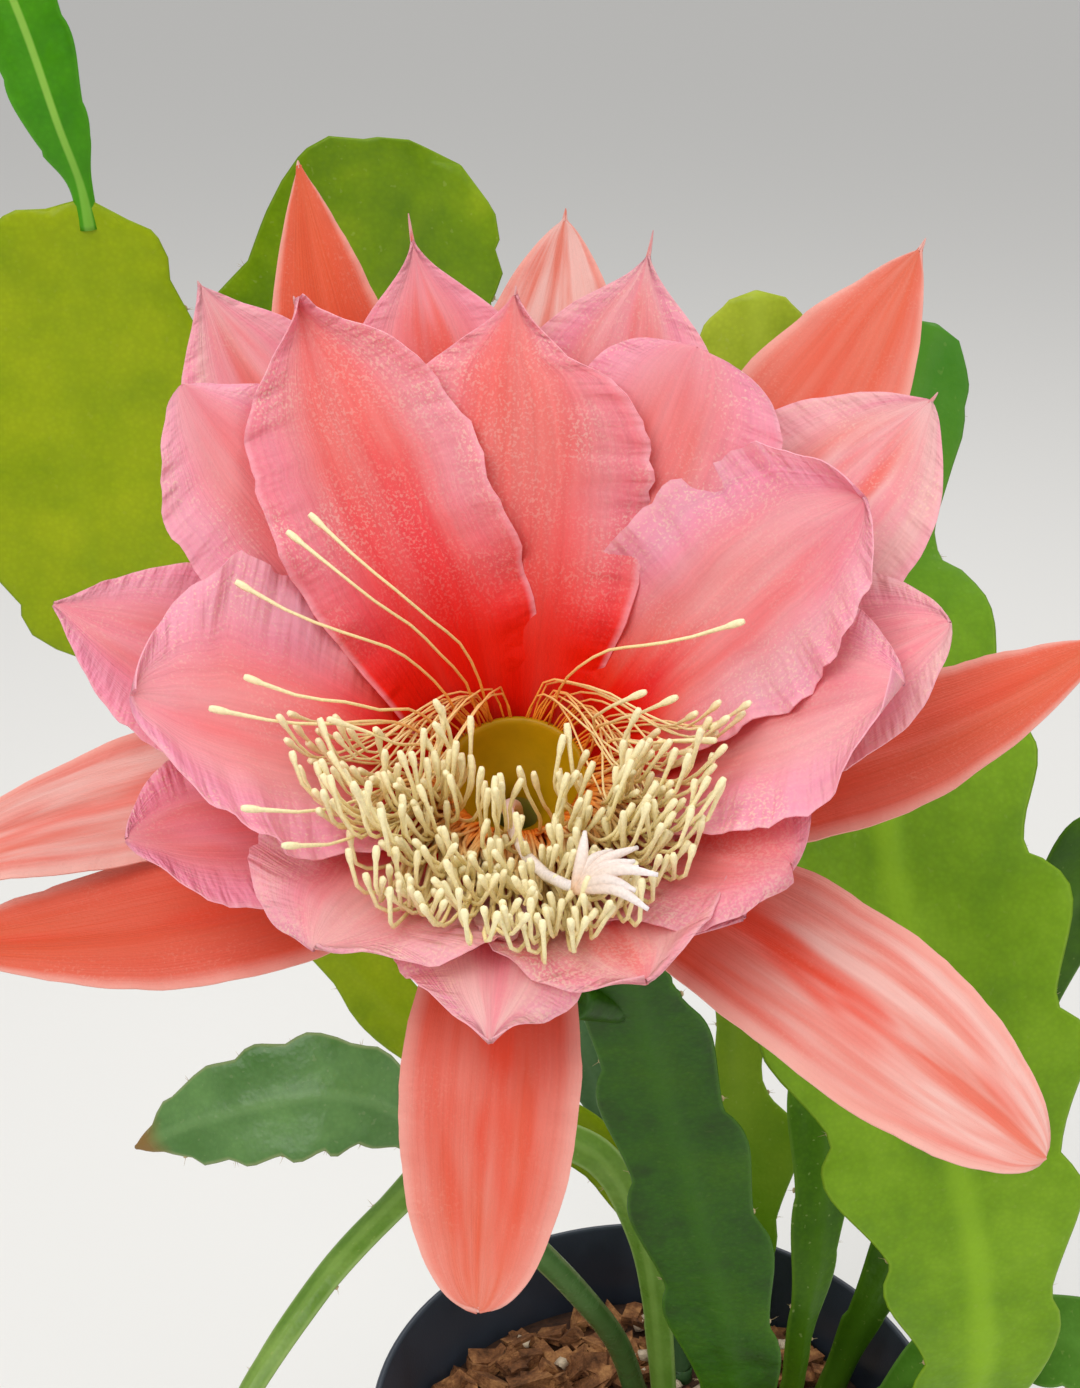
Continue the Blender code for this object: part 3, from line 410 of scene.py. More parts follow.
petalKeys = ("bearing", "reach", "height", "wide", "rise0", "rise1", "belly", "blunt", "ruffle", "phase",
             "layer", "red", "pink", "pale", "streak", "crinkle", "spine", "liftLow", "liftHigh")
sepalKeys = ("bearing", "reach", "height", "wide", "rise0", "rise1", "belly", "blunt", "swing", "red",
             "pink", "pale", "streak", "spine")


def petalOutline(along, belly, base, blunt):
    if along < belly:
        return base + (1 - base) * math.sin(math.pi / 2 * along / belly) ** 1.1
    return math.cos(math.pi / 2 * (along - belly) / (1 - belly)) ** blunt


def petalPoint(petal, along, across):  # middle surface: along 0 to 1 at the tip, across -1 to 1
    (r0, z0), (r1, z1) = petal["root"], (petal["reach"], petal["height"])
    rise0, rise1 = math.radians(petal["rise0"]), math.radians(petal["rise1"])
    chord = math.hypot(r1 - r0, z1 - z0)
    s, t = along, across
    h = (2 * s ** 3 - 3 * s ** 2 + 1, s ** 3 - 2 * s ** 2 + s, 3 * s ** 2 - 2 * s ** 3, s ** 3 - s ** 2)
    d = (6 * s ** 2 - 6 * s, 3 * s ** 2 - 4 * s + 1, 6 * s - 6 * s ** 2, 3 * s ** 2 - 2 * s)
    slopeR = (chord * math.cos(rise0), chord * math.cos(rise1))
    slopeZ = (chord * math.sin(rise0), chord * math.sin(rise1))
    r = h[0] * r0 + h[1] * slopeR[0] + h[2] * r1 + h[3] * slopeR[1]
    z = h[0] * z0 + h[1] * slopeZ[0] + h[2] * z1 + h[3] * slopeZ[1]
    dr = d[0] * r0 + d[1] * slopeR[0] + d[2] * r1 + d[3] * slopeR[1]
    dz = d[0] * z0 + d[1] * slopeZ[0] + d[2] * z1 + d[3] * slopeZ[1]
    run = math.hypot(dr, dz)
    dr, dz = dr / run, dz / run
    seed = petal["bearing"] * 0.37
    half = max(petalOutline(s, petal["belly"], petal["base"], petal["blunt"]) * petal["wide"] / 2, 0.2)
    # the outline isn't even: each side has its own small scallops
    sideSeed = seed + (5.0 if t > 0 else 0.0)
    ragged = noise.noise(Vector((s * 9, sideSeed, 0))) * 0.075 + noise.noise(Vector((s * 28, sideSeed, 3))) * 0.03
    half *= 1 + ragged * petal["crinkle"] * smooth(s, 0.2, 0.5) * (1 - smooth(s, 0.93, 1.0))
    half *= 1 - petal["ogee"] * math.exp(-((1 - s) / 0.085) ** 2)  # drawn out to a point
    if t < 0:
        half *= (1 - petal["notch"] * smooth(s, 0.80, 0.865)) * (1 - petal["slim"] * smooth(s, 0.15, 0.5))
    x = half * t
    bend = petal["cup"] * max(dz, 0.05) / max(r, 12)
    ease = min(1.0, max(0.0, (s - 0.05) / 0.33))
    phase = petal["phase"] if t > 0 else petal["phase"] + 1.7
    ruffle = petal["ruffle"] * abs(t) ** 3 * math.sin(turn * 2.2 * s + phase)
    # short crinkles at the margin, long shallow folds along the blade, and a groove on the midrib
    fine = noise.noise(Vector((s * petal["length"] / 5.0, sideSeed, t * 0.8)))
    finer = noise.noise(Vector((s * petal["length"] / 2.2, sideSeed, 7 + t)))
    ruffle += petal["crinkle"] * (abs(t) ** 2.5 * 2.1 * fine + abs(t) ** 3 * 0.9 * finer)
    folds = petal["fold"] * math.cos(t * half / 2.6 + seed) * (1 - abs(t) ** 4) * math.sin(math.pi * min(1, s * 1.1))
    folds += noise.noise(Vector((x / 9, s * petal["length"] / 16, seed))) * petal["fold"] * 2.2
    groove = -petal["groove"] * math.exp(-(x / 1.3) ** 2) * (1 - smooth(s, 0.85, 1.0))
    lift = (petal["liftHigh"] if t > 0 else petal["liftLow"]) * abs(t) ** 1.6
    y = bend * x * x / 2 + (ruffle + petal["layer"] + lift) * ease + (folds + groove) * ease
    x += petal["swing"] * s * s
    bearing = math.radians(petal["bearing"])
    r, z = r - dz * y, z + dr * y
    return inFlower(math.cos(bearing) * r - math.sin(bearing) * x,
                    math.sin(bearing) * r + math.cos(bearing) * x, z)


def makePetal(petal, columns, rows, thickness):
    blade = addGrid("petal", columns, rows)
    petal["length"] = math.hypot(petal["reach"] - petal["root"][0], petal["height"] - petal["root"][1]) * 1.08
    body = blade.vertex_groups.new(name="body")  # a petal is thinnest at its margin
    for vert in blade.data.vertices:
        body.add([vert.index], 1 - abs(vert.co.x) ** 5, "REPLACE")
        share = (vert.co.y + 1) / 2
        vert.co = petalPoint(petal, 1 - (1 - share) ** 1.5, vert.co.x) * mm
    setMaterials(blade, None, None)
    addModifier(blade, "SOLIDIFY", thickness=thickness * mm, offset=0, material_offset=1, material_offset_rim=0,
                vertex_group="body", thickness_vertex_group=0.3)
    blade.vertex_groups.clear()
    parts = [blade]
    if petal["spine"]:  # a fine bristle stands on the tip and curls in
        tip = petalPoint(petal, 0.995, 0)
        way = (petalPoint(petal, 0.99, 0) - petalPoint(petal, 0.95, 0)).normalized()
        spine = addTube("spine", 6, 7)
        side = way.cross(flowerAxis).normalized()
        other = way.cross(side)
        for vert in spine.data.vertices:
            at = vert.co.z
            curl = flowerAxis * (at * at * petal["spine"] * 0.45)
            wide = thickness * 0.5 * (1 - at) ** 0.7 + 0.08
            vert.co = (tip + way * (at * petal["spine"]) + curl + (side * vert.co.x + other * vert.co.y) * wide) * mm
        parts.append(spine)
    for part in parts:
        setSpreads(part, {"seed": petal["bearing"] * 0.731 + petal["reach"], "reach": petal["red"],
                          "pink": petal["pink"], "pale": petal["pale"] if part is blade else 1.0,
                          "streak": petal["streak"], "sparkle": petal["sparkle"]})
    return joinAll(parts, "petal")


petals = []
for rows, root in ((middlePetals, (13, -3.4)), (innerPetals, (11.6, -2.2))):
    for row in rows:
        petal = dict(zip(petalKeys, row), root=root, base=0.45, cup=0.8, swing=0, fold=0.34, groove=0.5,
                     slim=0, ogee=0.2, notch=0, sparkle=0)
        petal.update(petalQuirks.get(row[0], {}))
        petals.append(makePetal(petal, 30, 48, 0.6))
petals = finishPiece(petals, "pinkPetals", (petalFace, petalBack), "petal_pink", "inner_tepals", angle=50)

sepals = []
for row in outerSepals:
    sepal = dict(zip(sepalKeys, row), root=(12.4, -7), base=0.6, cup=0.35, ruffle=0, phase=0, layer=0,
                 crinkle=0.3, fold=0.28, groove=0.5, liftLow=0, liftHigh=0, slim=0, ogee=0, notch=0, sparkle=0)
    sepals.append(makePetal(sepal, 22, 48, 0.9))
finishPiece(sepals, "coralSepals", (sepalFace, sepalBack), "sepal_coral", "outer_tepals", angle=50)
print("petals and sepals open")


# ---- floral tube, style and stamens

# Waxy skin: green outside the tube, olive in the nectar cup, where light glows through it
def plainWax(name, look):
    made, tree = newMaterial(name)
    spot, ramp = cloudColour(tree, look["ramp"], look["cloudScale"], 3.0)[:2]
    fine = addNode(tree, "TexNoise", {"Vector": spot, "Scale": 1600.0, "Detail": 2.0})
    bump = addNode(tree, "Bump", {"Height": fine, "Strength": look["bump"], "Distance": 0.0003})
    setSurface(tree, {"Base Color": ramp, "Roughness": look["roughness"], "IOR": 1.42, "Normal": bump},
               look.get("through", 0.0))
    return made


tubeSkin = plainWax("tubeWax", {"ramp": [(0.3, "#7f8a2c"), (0.7, "#a48a3c")], "cloudScale": 160.0, "bump": 0.3,
                                "roughness": 0.42})
cupSkin = plainWax("nectarCupWax", {"ramp": [(0.3, "#ca9e00"), (0.7, "#dcac02")], "cloudScale": 220.0, "bump": 0.2,
                                    "roughness": 0.45, "through": 0.4})
bractSkin = plainWax("bractWax", {"ramp": [(0.3, "#b06a30"), (0.7, "#c07a3c")], "cloudScale": 200.0, "bump": 0.3,
                                  "roughness": 0.45})

peduncleWay = Vector((-0.62, -0.60, 0.50)).normalized()
peduncleRoot = Vector((-19.5, -80, 311))
peduncleEnd = peduncleRoot + peduncleWay * 8.5
tubeLook = {
    "sides": 48, "cupFloor": -26, "lip": 10.2,
    # from the bottom of the cup, up its wall, over the lip and down the outside
    "profile": [(1.8, -26), (2.2, -20), (2.8, -8.6), (5.2, -6.4), (7.6, -3.6), (8.9, -0.6), (9.5, 0.8), (10.2, 0.8),
                (11.4, -1.2), (13.4, -4.6), (13.6, -8), (12.6, -12), (10.4, -18), (8.6, -25), (7.3, -33)],
    "bend": [6.9, 6.6, 6.3, 6.0, 5.6, 5.2, 4.7, 4.2, 3.7],
}
tubeSides = tubeLook["sides"]
tubeRings = [[inFlower(radius * math.cos(turn * k / tubeSides), radius * math.sin(turn * k / tubeSides), level)
              for k in range(tubeSides)] for radius, level in tubeLook["profile"]]
bendStart = inFlower(0, 0, tubeLook["profile"][-1][1])
bendEnd = peduncleEnd + peduncleWay * 0.1
bendPath = [bendStart, bendStart - flowerAxis * 11, bendEnd + peduncleWay * 9, bendEnd]
spokes = [p - bendStart for p in tubeRings[-1]]
for i, radius in enumerate(tubeLook["bend"], 1):
    at = 3 * i / len(tubeLook["bend"])
    centre = Vector(catmull(bendPath, at))
    tangent = (Vector(catmull(bendPath, min(at + 0.1, 3))) - Vector(catmull(bendPath, at - 0.1))).normalized()
    spokes = [(v - tangent * v.dot(tangent)).normalized() * radius for v in spokes]
    tubeRings.append([centre + v for v in spokes])
floralTube = addTube("floralTube", tubeSides, len(tubeRings) - 2)
for vert in floralTube.data.vertices:
    ring = round(vert.co.z * (len(tubeRings) - 1))
    spoke = round(math.atan2(vert.co.y, vert.co.x) / turn * tubeSides) % tubeSides
    vert.co = tubeRings[ring][spoke] * mm
turnOutwards(floralTube)
setMaterials(floralTube, tubeSkin, cupSkin)
for face in floralTube.data.polygons:
    middle = face.center / mm - flowerPlace["throat"]
    out = math.hypot(middle.x, middle.dot(flowerUp))
    level = middle.dot(flowerAxis)
    if level > tubeLook["cupFloor"] and out < tubeLook["lip"] and out < 9.6 + level * 0.5:
        face.material_index = 1
addModifier(floralTube, "SUBSURF", levels=1, render_levels=1)
finishPiece([floralTube], "floralTube", (tubeSkin, cupSkin), "tube_green", "floral_tube")

bractLook = {"count": 9, "length": 11, "wide": 4.6}
bracts = []
draw = random.Random(5)
for k in range(bractLook["count"]):
    level = -14 - 2.6 * k
    angle = turn * (k * 0.382 + 0.1)
    radius = 11.6 + (level + 14) * 0.22
    bract = addGrid("bract", 7, 9)
    for vert in bract.data.vertices:
        s, t = (vert.co.y + 1) / 2, vert.co.x
        wide = bractLook["wide"] / 2 * max(0.06, (1 - s ** 1.6)) * (0.6 + 0.4 * smooth(s, 0, 0.3))
        out = radius + 0.4 + s * 2.2 + s * s * 2.6 - 0.5 * t * t
        around = angle + t * wide / max(out, 5)
        vert.co = inFlower(out * math.cos(around), out * math.sin(around), level + s * bractLook["length"]) * mm
    addModifier(bract, "SOLIDIFY", thickness=0.5 * mm, offset=0)
    setMaterials(bract, bractSkin)
    bracts.append(bract)
finishPiece(bracts, "tubeBracts", (bractSkin,), "sepal_coral")


# Threads of living tissue: the filament is orange at its foot and cream above, the anther is dusted with pollen
def threadTissue(name, look):
    made, tree = newMaterial(name)
    spot = addNode(tree, "TexCoord").outputs["Object"]
    ramp = addNode(tree, "ValToRGB", {0: addNode(tree, "Attribute", attribute_name="along").outputs["Fac"]})
    setStops(ramp, look["ramp"])
    dust = addNode(tree, "TexNoise", {"Vector": spot, "Scale": 2200.0, "Detail": 2.0})
    tone = addNode(tree, "MapRange", {"Value": dust, "From Min": 0.3, "From Max": 0.7, "To Min": 0.9, "To Max": 1.06})
    toned = addNode(tree, "VectorMath", {0: ramp, "Scale": tone}, operation="SCALE")
    bump = addNode(tree, "Bump", {"Height": dust, "Strength": 0.4, "Distance": 0.0002})
    setSurface(tree, {"Base Color": toned, "Roughness": look["roughness"], "IOR": 1.4, "Specular IOR Level": 0.3,
                      "Normal": bump}, look["through"])
    return made


stamenSkin = threadTissue("filamentAndPollen", {
    "ramp": [(0.0, "#ff9020"), (0.12, "#ffa43c"), (0.28, "#ffcb7c"), (0.48, "#ffe7a2"), (0.80, "#fff0b6"),
             (1.0, "#fff4c6")],
    "roughness": 0.6, "through": 0.12})
stigmaSkin = threadTissue("stigmaDown", {
    "ramp": [(0.0, "#f8cca0"), (0.3, "#fbe8d8"), (1.0, "#fffafa")], "roughness": 0.55, "through": 0.3})


def threadAlong(template, name, path, radiusAt, placeAt=lambda q: q):  # bends a straight tube along a path
    thread = copyOf(template, name)
    levels = sorted({round(v.co.z, 4) for v in template.data.vertices})
    frames = {}
    side = None
    for q in levels:
        level = placeAt(q)
        centre = Vector(catmull(path, level * (len(path) - 1)))
        ahead = Vector(catmull(path, min(level + 0.02, 1) * (len(path) - 1)))
        behind = Vector(catmull(path, max(level - 0.02, 0) * (len(path) - 1)))
        tangent = (ahead - behind).normalized()
        side = (tangent.orthogonal() if side is None else side - tangent * side.dot(tangent)).normalized()
        frames[q] = (level, centre, side, tangent.cross(side))
    spread = []
    for vert in thread.data.vertices:
        level, centre, side, other = frames[round(vert.co.z, 4)]
        wide = radiusAt(level)
        spread.append(level)
        vert.co = inFlower(*(centre + side * vert.co.x * wide + other * vert.co.y * wide)) * mm
    setSpread(thread, "along", spread)
    return thread


def stamenPath(bearing, row, tip, startWay, endWay, draw):  # one even curve with a slight waver
    base = Vector((math.cos(bearing) * row, math.sin(bearing) * row, 0.2))
    reach = (tip - base).length
    first = base + startWay.normalized() * reach * 0.42
    second = tip - endWay.normalized() * reach * 0.42
    path = []
    for k in range(7):
        u = k / 6
        at = base * (1 - u) ** 3 + first * 3 * u * (1 - u) ** 2 + second * 3 * u * u * (1 - u) + tip * u ** 3
        path.append(at + Vector([draw.uniform(-0.4, 0.4) if 0 < k < 6 else 0 for axis in range(3)]))
    return path


def raiseClear(path, clearance):  # lifts a stamen's outer half off the petals
    lifted = [p.copy() for p in path]
    for trial in range(14):
        near = [Vector(catmull(lifted, q / 2)) for q in range(6, 13)]
        if min(petalTree.find(inFlower(*p))[2] for p in near) > clearance:
            break
        for k, share in ((2, 0.2), (3, 0.5), (4, 0.8), (5, 1.0), (6, 1.0)):
            lifted[k].z += share
    return lifted


def growStamen(template, path, thin):  # a filament that swells into its anther
    foot = 1 - stamenLook["antherLength"] / sum((q - p).length for p, q in zip(path, path[1:]))
    split = 11 / 17  # the share of the template's rings that the filament takes

    def placeAt(q):
        return q / split * foot if q < split else foot + (q - split) / (1 - split) * (1 - foot)

    def radiusAt(level):
        if level < foot:
            return stamenLook["filament"] * thin * (0.85 + 0.15 * level)
        share = (level - foot) / (1 - foot)
        neck = stamenLook["neck"]
        return neck + (stamenLook["anther"] - neck) * math.sin(math.pi * (0.04 + 0.90 * share)) ** 0.6

    return threadAlong(template, "stamen", path, radiusAt, placeAt)


longStamens = [
    (112, 148, 32, 38), (122, 155, 33, 38), (134, 169, 37, 36), (156, 190, 35, 33),
    (168, 197, 40, 34), (180, 204, 26, 30), (62, 4, 30, 34), (203, 218, 42, 31),
    (214, 227, 41, 31), (10, 342, 18, 29), (20, 345, 22, 28), (0, 333, 29, 29),
]
stamenLook = {"crowd": 280, "arches": 58, "filament": 0.30, "neck": 0.26, "anther": 0.53, "antherLength": 2.9,
              "footRing": 9.8}
stigmaLook = {"bearings": [-22, -8, 5, 18, 32, 46, 62, 80], "length": 10.5}
stylePath = [Vector(p) for p in ((0, 0, -12), (0, -1.5, -6), (-0.5, -4, -1), (-1, -11, 9), (1, -21, 15),
                                 (5, -29, 21), (8.7, -33, 26))]


petalTree = kdtree.KDTree(len(petals.data.vertices))
for vert in petals.data.vertices:
    petalTree.insert(vert.co / mm, vert.index)
petalTree.balance()
threadTemplate = addTube("thread", 5, 16)
stamens = []
draw = random.Random(21)
for foot, bearing, reach, height in longStamens:
    around, start = math.radians(bearing), math.radians(foot)
    tip = Vector((reach * math.cos(around), reach * math.sin(around), height))
    rise = Vector((0.35 * math.cos(start), 0.35 * math.sin(start), 1))
    outward = Vector((math.cos(around) + draw.uniform(-0.3, 0.3), math.sin(around) + draw.uniform(0, 0.5), 0.6))
    path = stamenPath(start, stamenLook["footRing"], tip, rise, outward, draw)
    stamens.append(growStamen(threadTemplate, raiseClear(path, 1.2), 0.8))
# arches from the far rim, out to both sides
for k in range(stamenLook["arches"]):
    way = 1 if k % 2 else -1
    start = math.radians(90 + way * draw.uniform(2, 98))
    around = math.radians(90 + way * draw.uniform(98, 142))
    reach = draw.uniform(22, 35)
    tip = Vector((reach * math.cos(around) * 0.9, reach * math.sin(around), draw.uniform(19, 27)))
    rise = Vector((1.1 * math.cos(start), 1.1 * math.sin(start), 0.8))
    outward = Vector((math.cos(around) * 0.4, draw.uniform(-0.3, 0.6), 1))
    path = stamenPath(start, stamenLook["footRing"], tip, rise, outward, draw)
    stamens.append(growStamen(threadTemplate, raiseClear(path, 1.0), 0.62))
# the dense brush on the near side
for k in range(stamenLook["crowd"]):
    across = 2 * (k + draw.random()) / stamenLook["crowd"] - 1
    around = math.radians(270 + 64 * across + draw.uniform(-12, 12))
    reach = 9 + 31 * draw.random() ** 0.55
    height = 14 + 0.18 * reach + 6 * abs(across) + draw.uniform(-5, 7)
    tip = Vector((reach * math.cos(around) * 0.77, reach * math.sin(around), height))
    start = math.radians(270 + 80 * across + draw.uniform(-12, 12))
    rise = Vector((0.7 * math.cos(start), 0.7 * math.sin(start), 1))
    upwards = Vector((math.cos(around) * 0.3 + draw.uniform(-0.4, 0.4), draw.uniform(0.1, 1.2), 0.8))
    path = stamenPath(start, 9.3 + 0.5 * (k % 3), tip, rise, upwards, draw)
    stamens.append(growStamen(threadTemplate, raiseClear(path, 0.9), 1.0))
finishPiece(stamens, "stamens_fine", (stamenSkin,), "anther_cream", "stamens")

lobeTemplate = addTube("lobe", 8, 9)
style = [threadAlong(lobeTemplate, "stylePole", stylePath, lambda level: 1.0 - 0.3 * level)]
lobeRoot = stylePath[-1] - Vector((1.0, 0.2, 0.4))
for bearing in stigmaLook["bearings"]:
    angle = math.radians(bearing)
    way = Vector((math.cos(angle), math.sin(angle) * 0.9, 0.18 + 0.30 * math.cos(3 * angle))).normalized()
    length = stigmaLook["length"] * (0.92 + 0.16 * math.sin(bearing * 1.7))
    curl = Vector((-math.sin(angle), math.cos(angle), 0.3)) * (1.1 * math.sin(bearing * 0.9))
    end = lobeRoot + way * length + curl
    middle = lobeRoot + way * length * 0.5 + Vector((0, 0, 1.3)) - curl * 0.3
    style.append(threadAlong(lobeTemplate, "stigmaLobe", [lobeRoot, middle, end],
                             lambda level: 0.55 + 0.35 * math.sin(math.pi * min(1, level * 1.1)) - 0.25 * level))
finishPiece(style, "styleAndStigma", (stigmaSkin,), "stigma_white", "style")
discard(threadTemplate)
discard(lobeTemplate)
print("stamens and style stand")


# ---- stems

# A flat stem's cuticle: waxy, mottled under the wax, lighter on the rib, with scattered pale flecks
def stemCuticle(name, look):
    made, tree = newMaterial(name)
    rib, edge, height = (addNode(tree, "Attribute", attribute_name=key).outputs["Fac"]
                         for key in ("offRib", "nearEdge", "along"))
    spot, ramp, cloud = cloudColour(tree, [(0.32, look["dark"]), (0.50, look["base"]), (0.70, look["light"])],
                                    55.0, 4.0, 0.6)
    # cells under the skin, 0.8 mm, drawn as a fine mottle
    cells = addNode(tree, "TexVoronoi", {"Vector": spot, "Scale": 900.0, "Randomness": 1.0})
    cellTone = addNode(tree, "MapRange", {"Value": cells, "From Min": 0.0, "From Max": 0.7,
                                          "To Min": 1 + look["mottle"], "To Max": 1 - look["mottle"]})
    colour = addNode(tree, "VectorMath", {0: ramp, "Scale": cellTone}, operation="SCALE")
    # the rib, the margin, a darker, duller foot, a tip of another colour (dried brown on the leafy stem, darker green
    # on the right stem), and corky flecks of 0.6 mm
    flecks = addNode(tree, "TexNoise", {"Vector": spot, "Scale": 700.0, "Detail": 1.0})
    for key, value, low, high, most, fade in (
            ("rib", rib, look["ribWide"], 0.4, look["ribShare"], "SMOOTHSTEP"),
            ("edge", edge, 1.0, 0.2, look["edgeShare"], "SMOOTHSTEP"),
            ("foot", height, look["footTo"], 0.0, look["footShare"], "SMOOTHSTEP"),
            ("tip", height, look["tipFrom"], 0.99, look["tipShare"], "SMOOTHSTEP"),
            ("fleck", flecks, 0.70, 0.76, look["flecks"], "LINEAR")):
        share = addNode(tree, "MapRange", {"Value": value, "From Min": low, "From Max": high, "To Max": most},
                        interpolation_type=fade)
        colour = addNode(tree, "Mix", {0: share, 6: colour, 7: hexToLinear(look[key])}, data_type="RGBA")
    dents = addNode(tree, "TexNoise", {"Vector": spot, "Scale": 160.0, "Detail": 3.0})
    dentBump = addNode(tree, "Bump", {"Height": dents, "Strength": 0.5, "Distance": 0.0010})
    cellBump = addNode(tree, "Bump", {"Height": cells, "Strength": 0.12, "Distance": 0.0002, "Normal": dentBump})
    shine = addNode(tree, "MapRange", {"Value": cloud, "From Min": 0.3, "From Max": 0.7,
                                       "To Min": look["roughness"] - 0.05, "To Max": look["roughness"] + 0.08})
    setSurface(tree, {"Base Color": colour, "Roughness": shine, "IOR": 1.42, "Specular IOR Level": 0.3,
                      "Normal": cellBump}, look["through"])
    return made


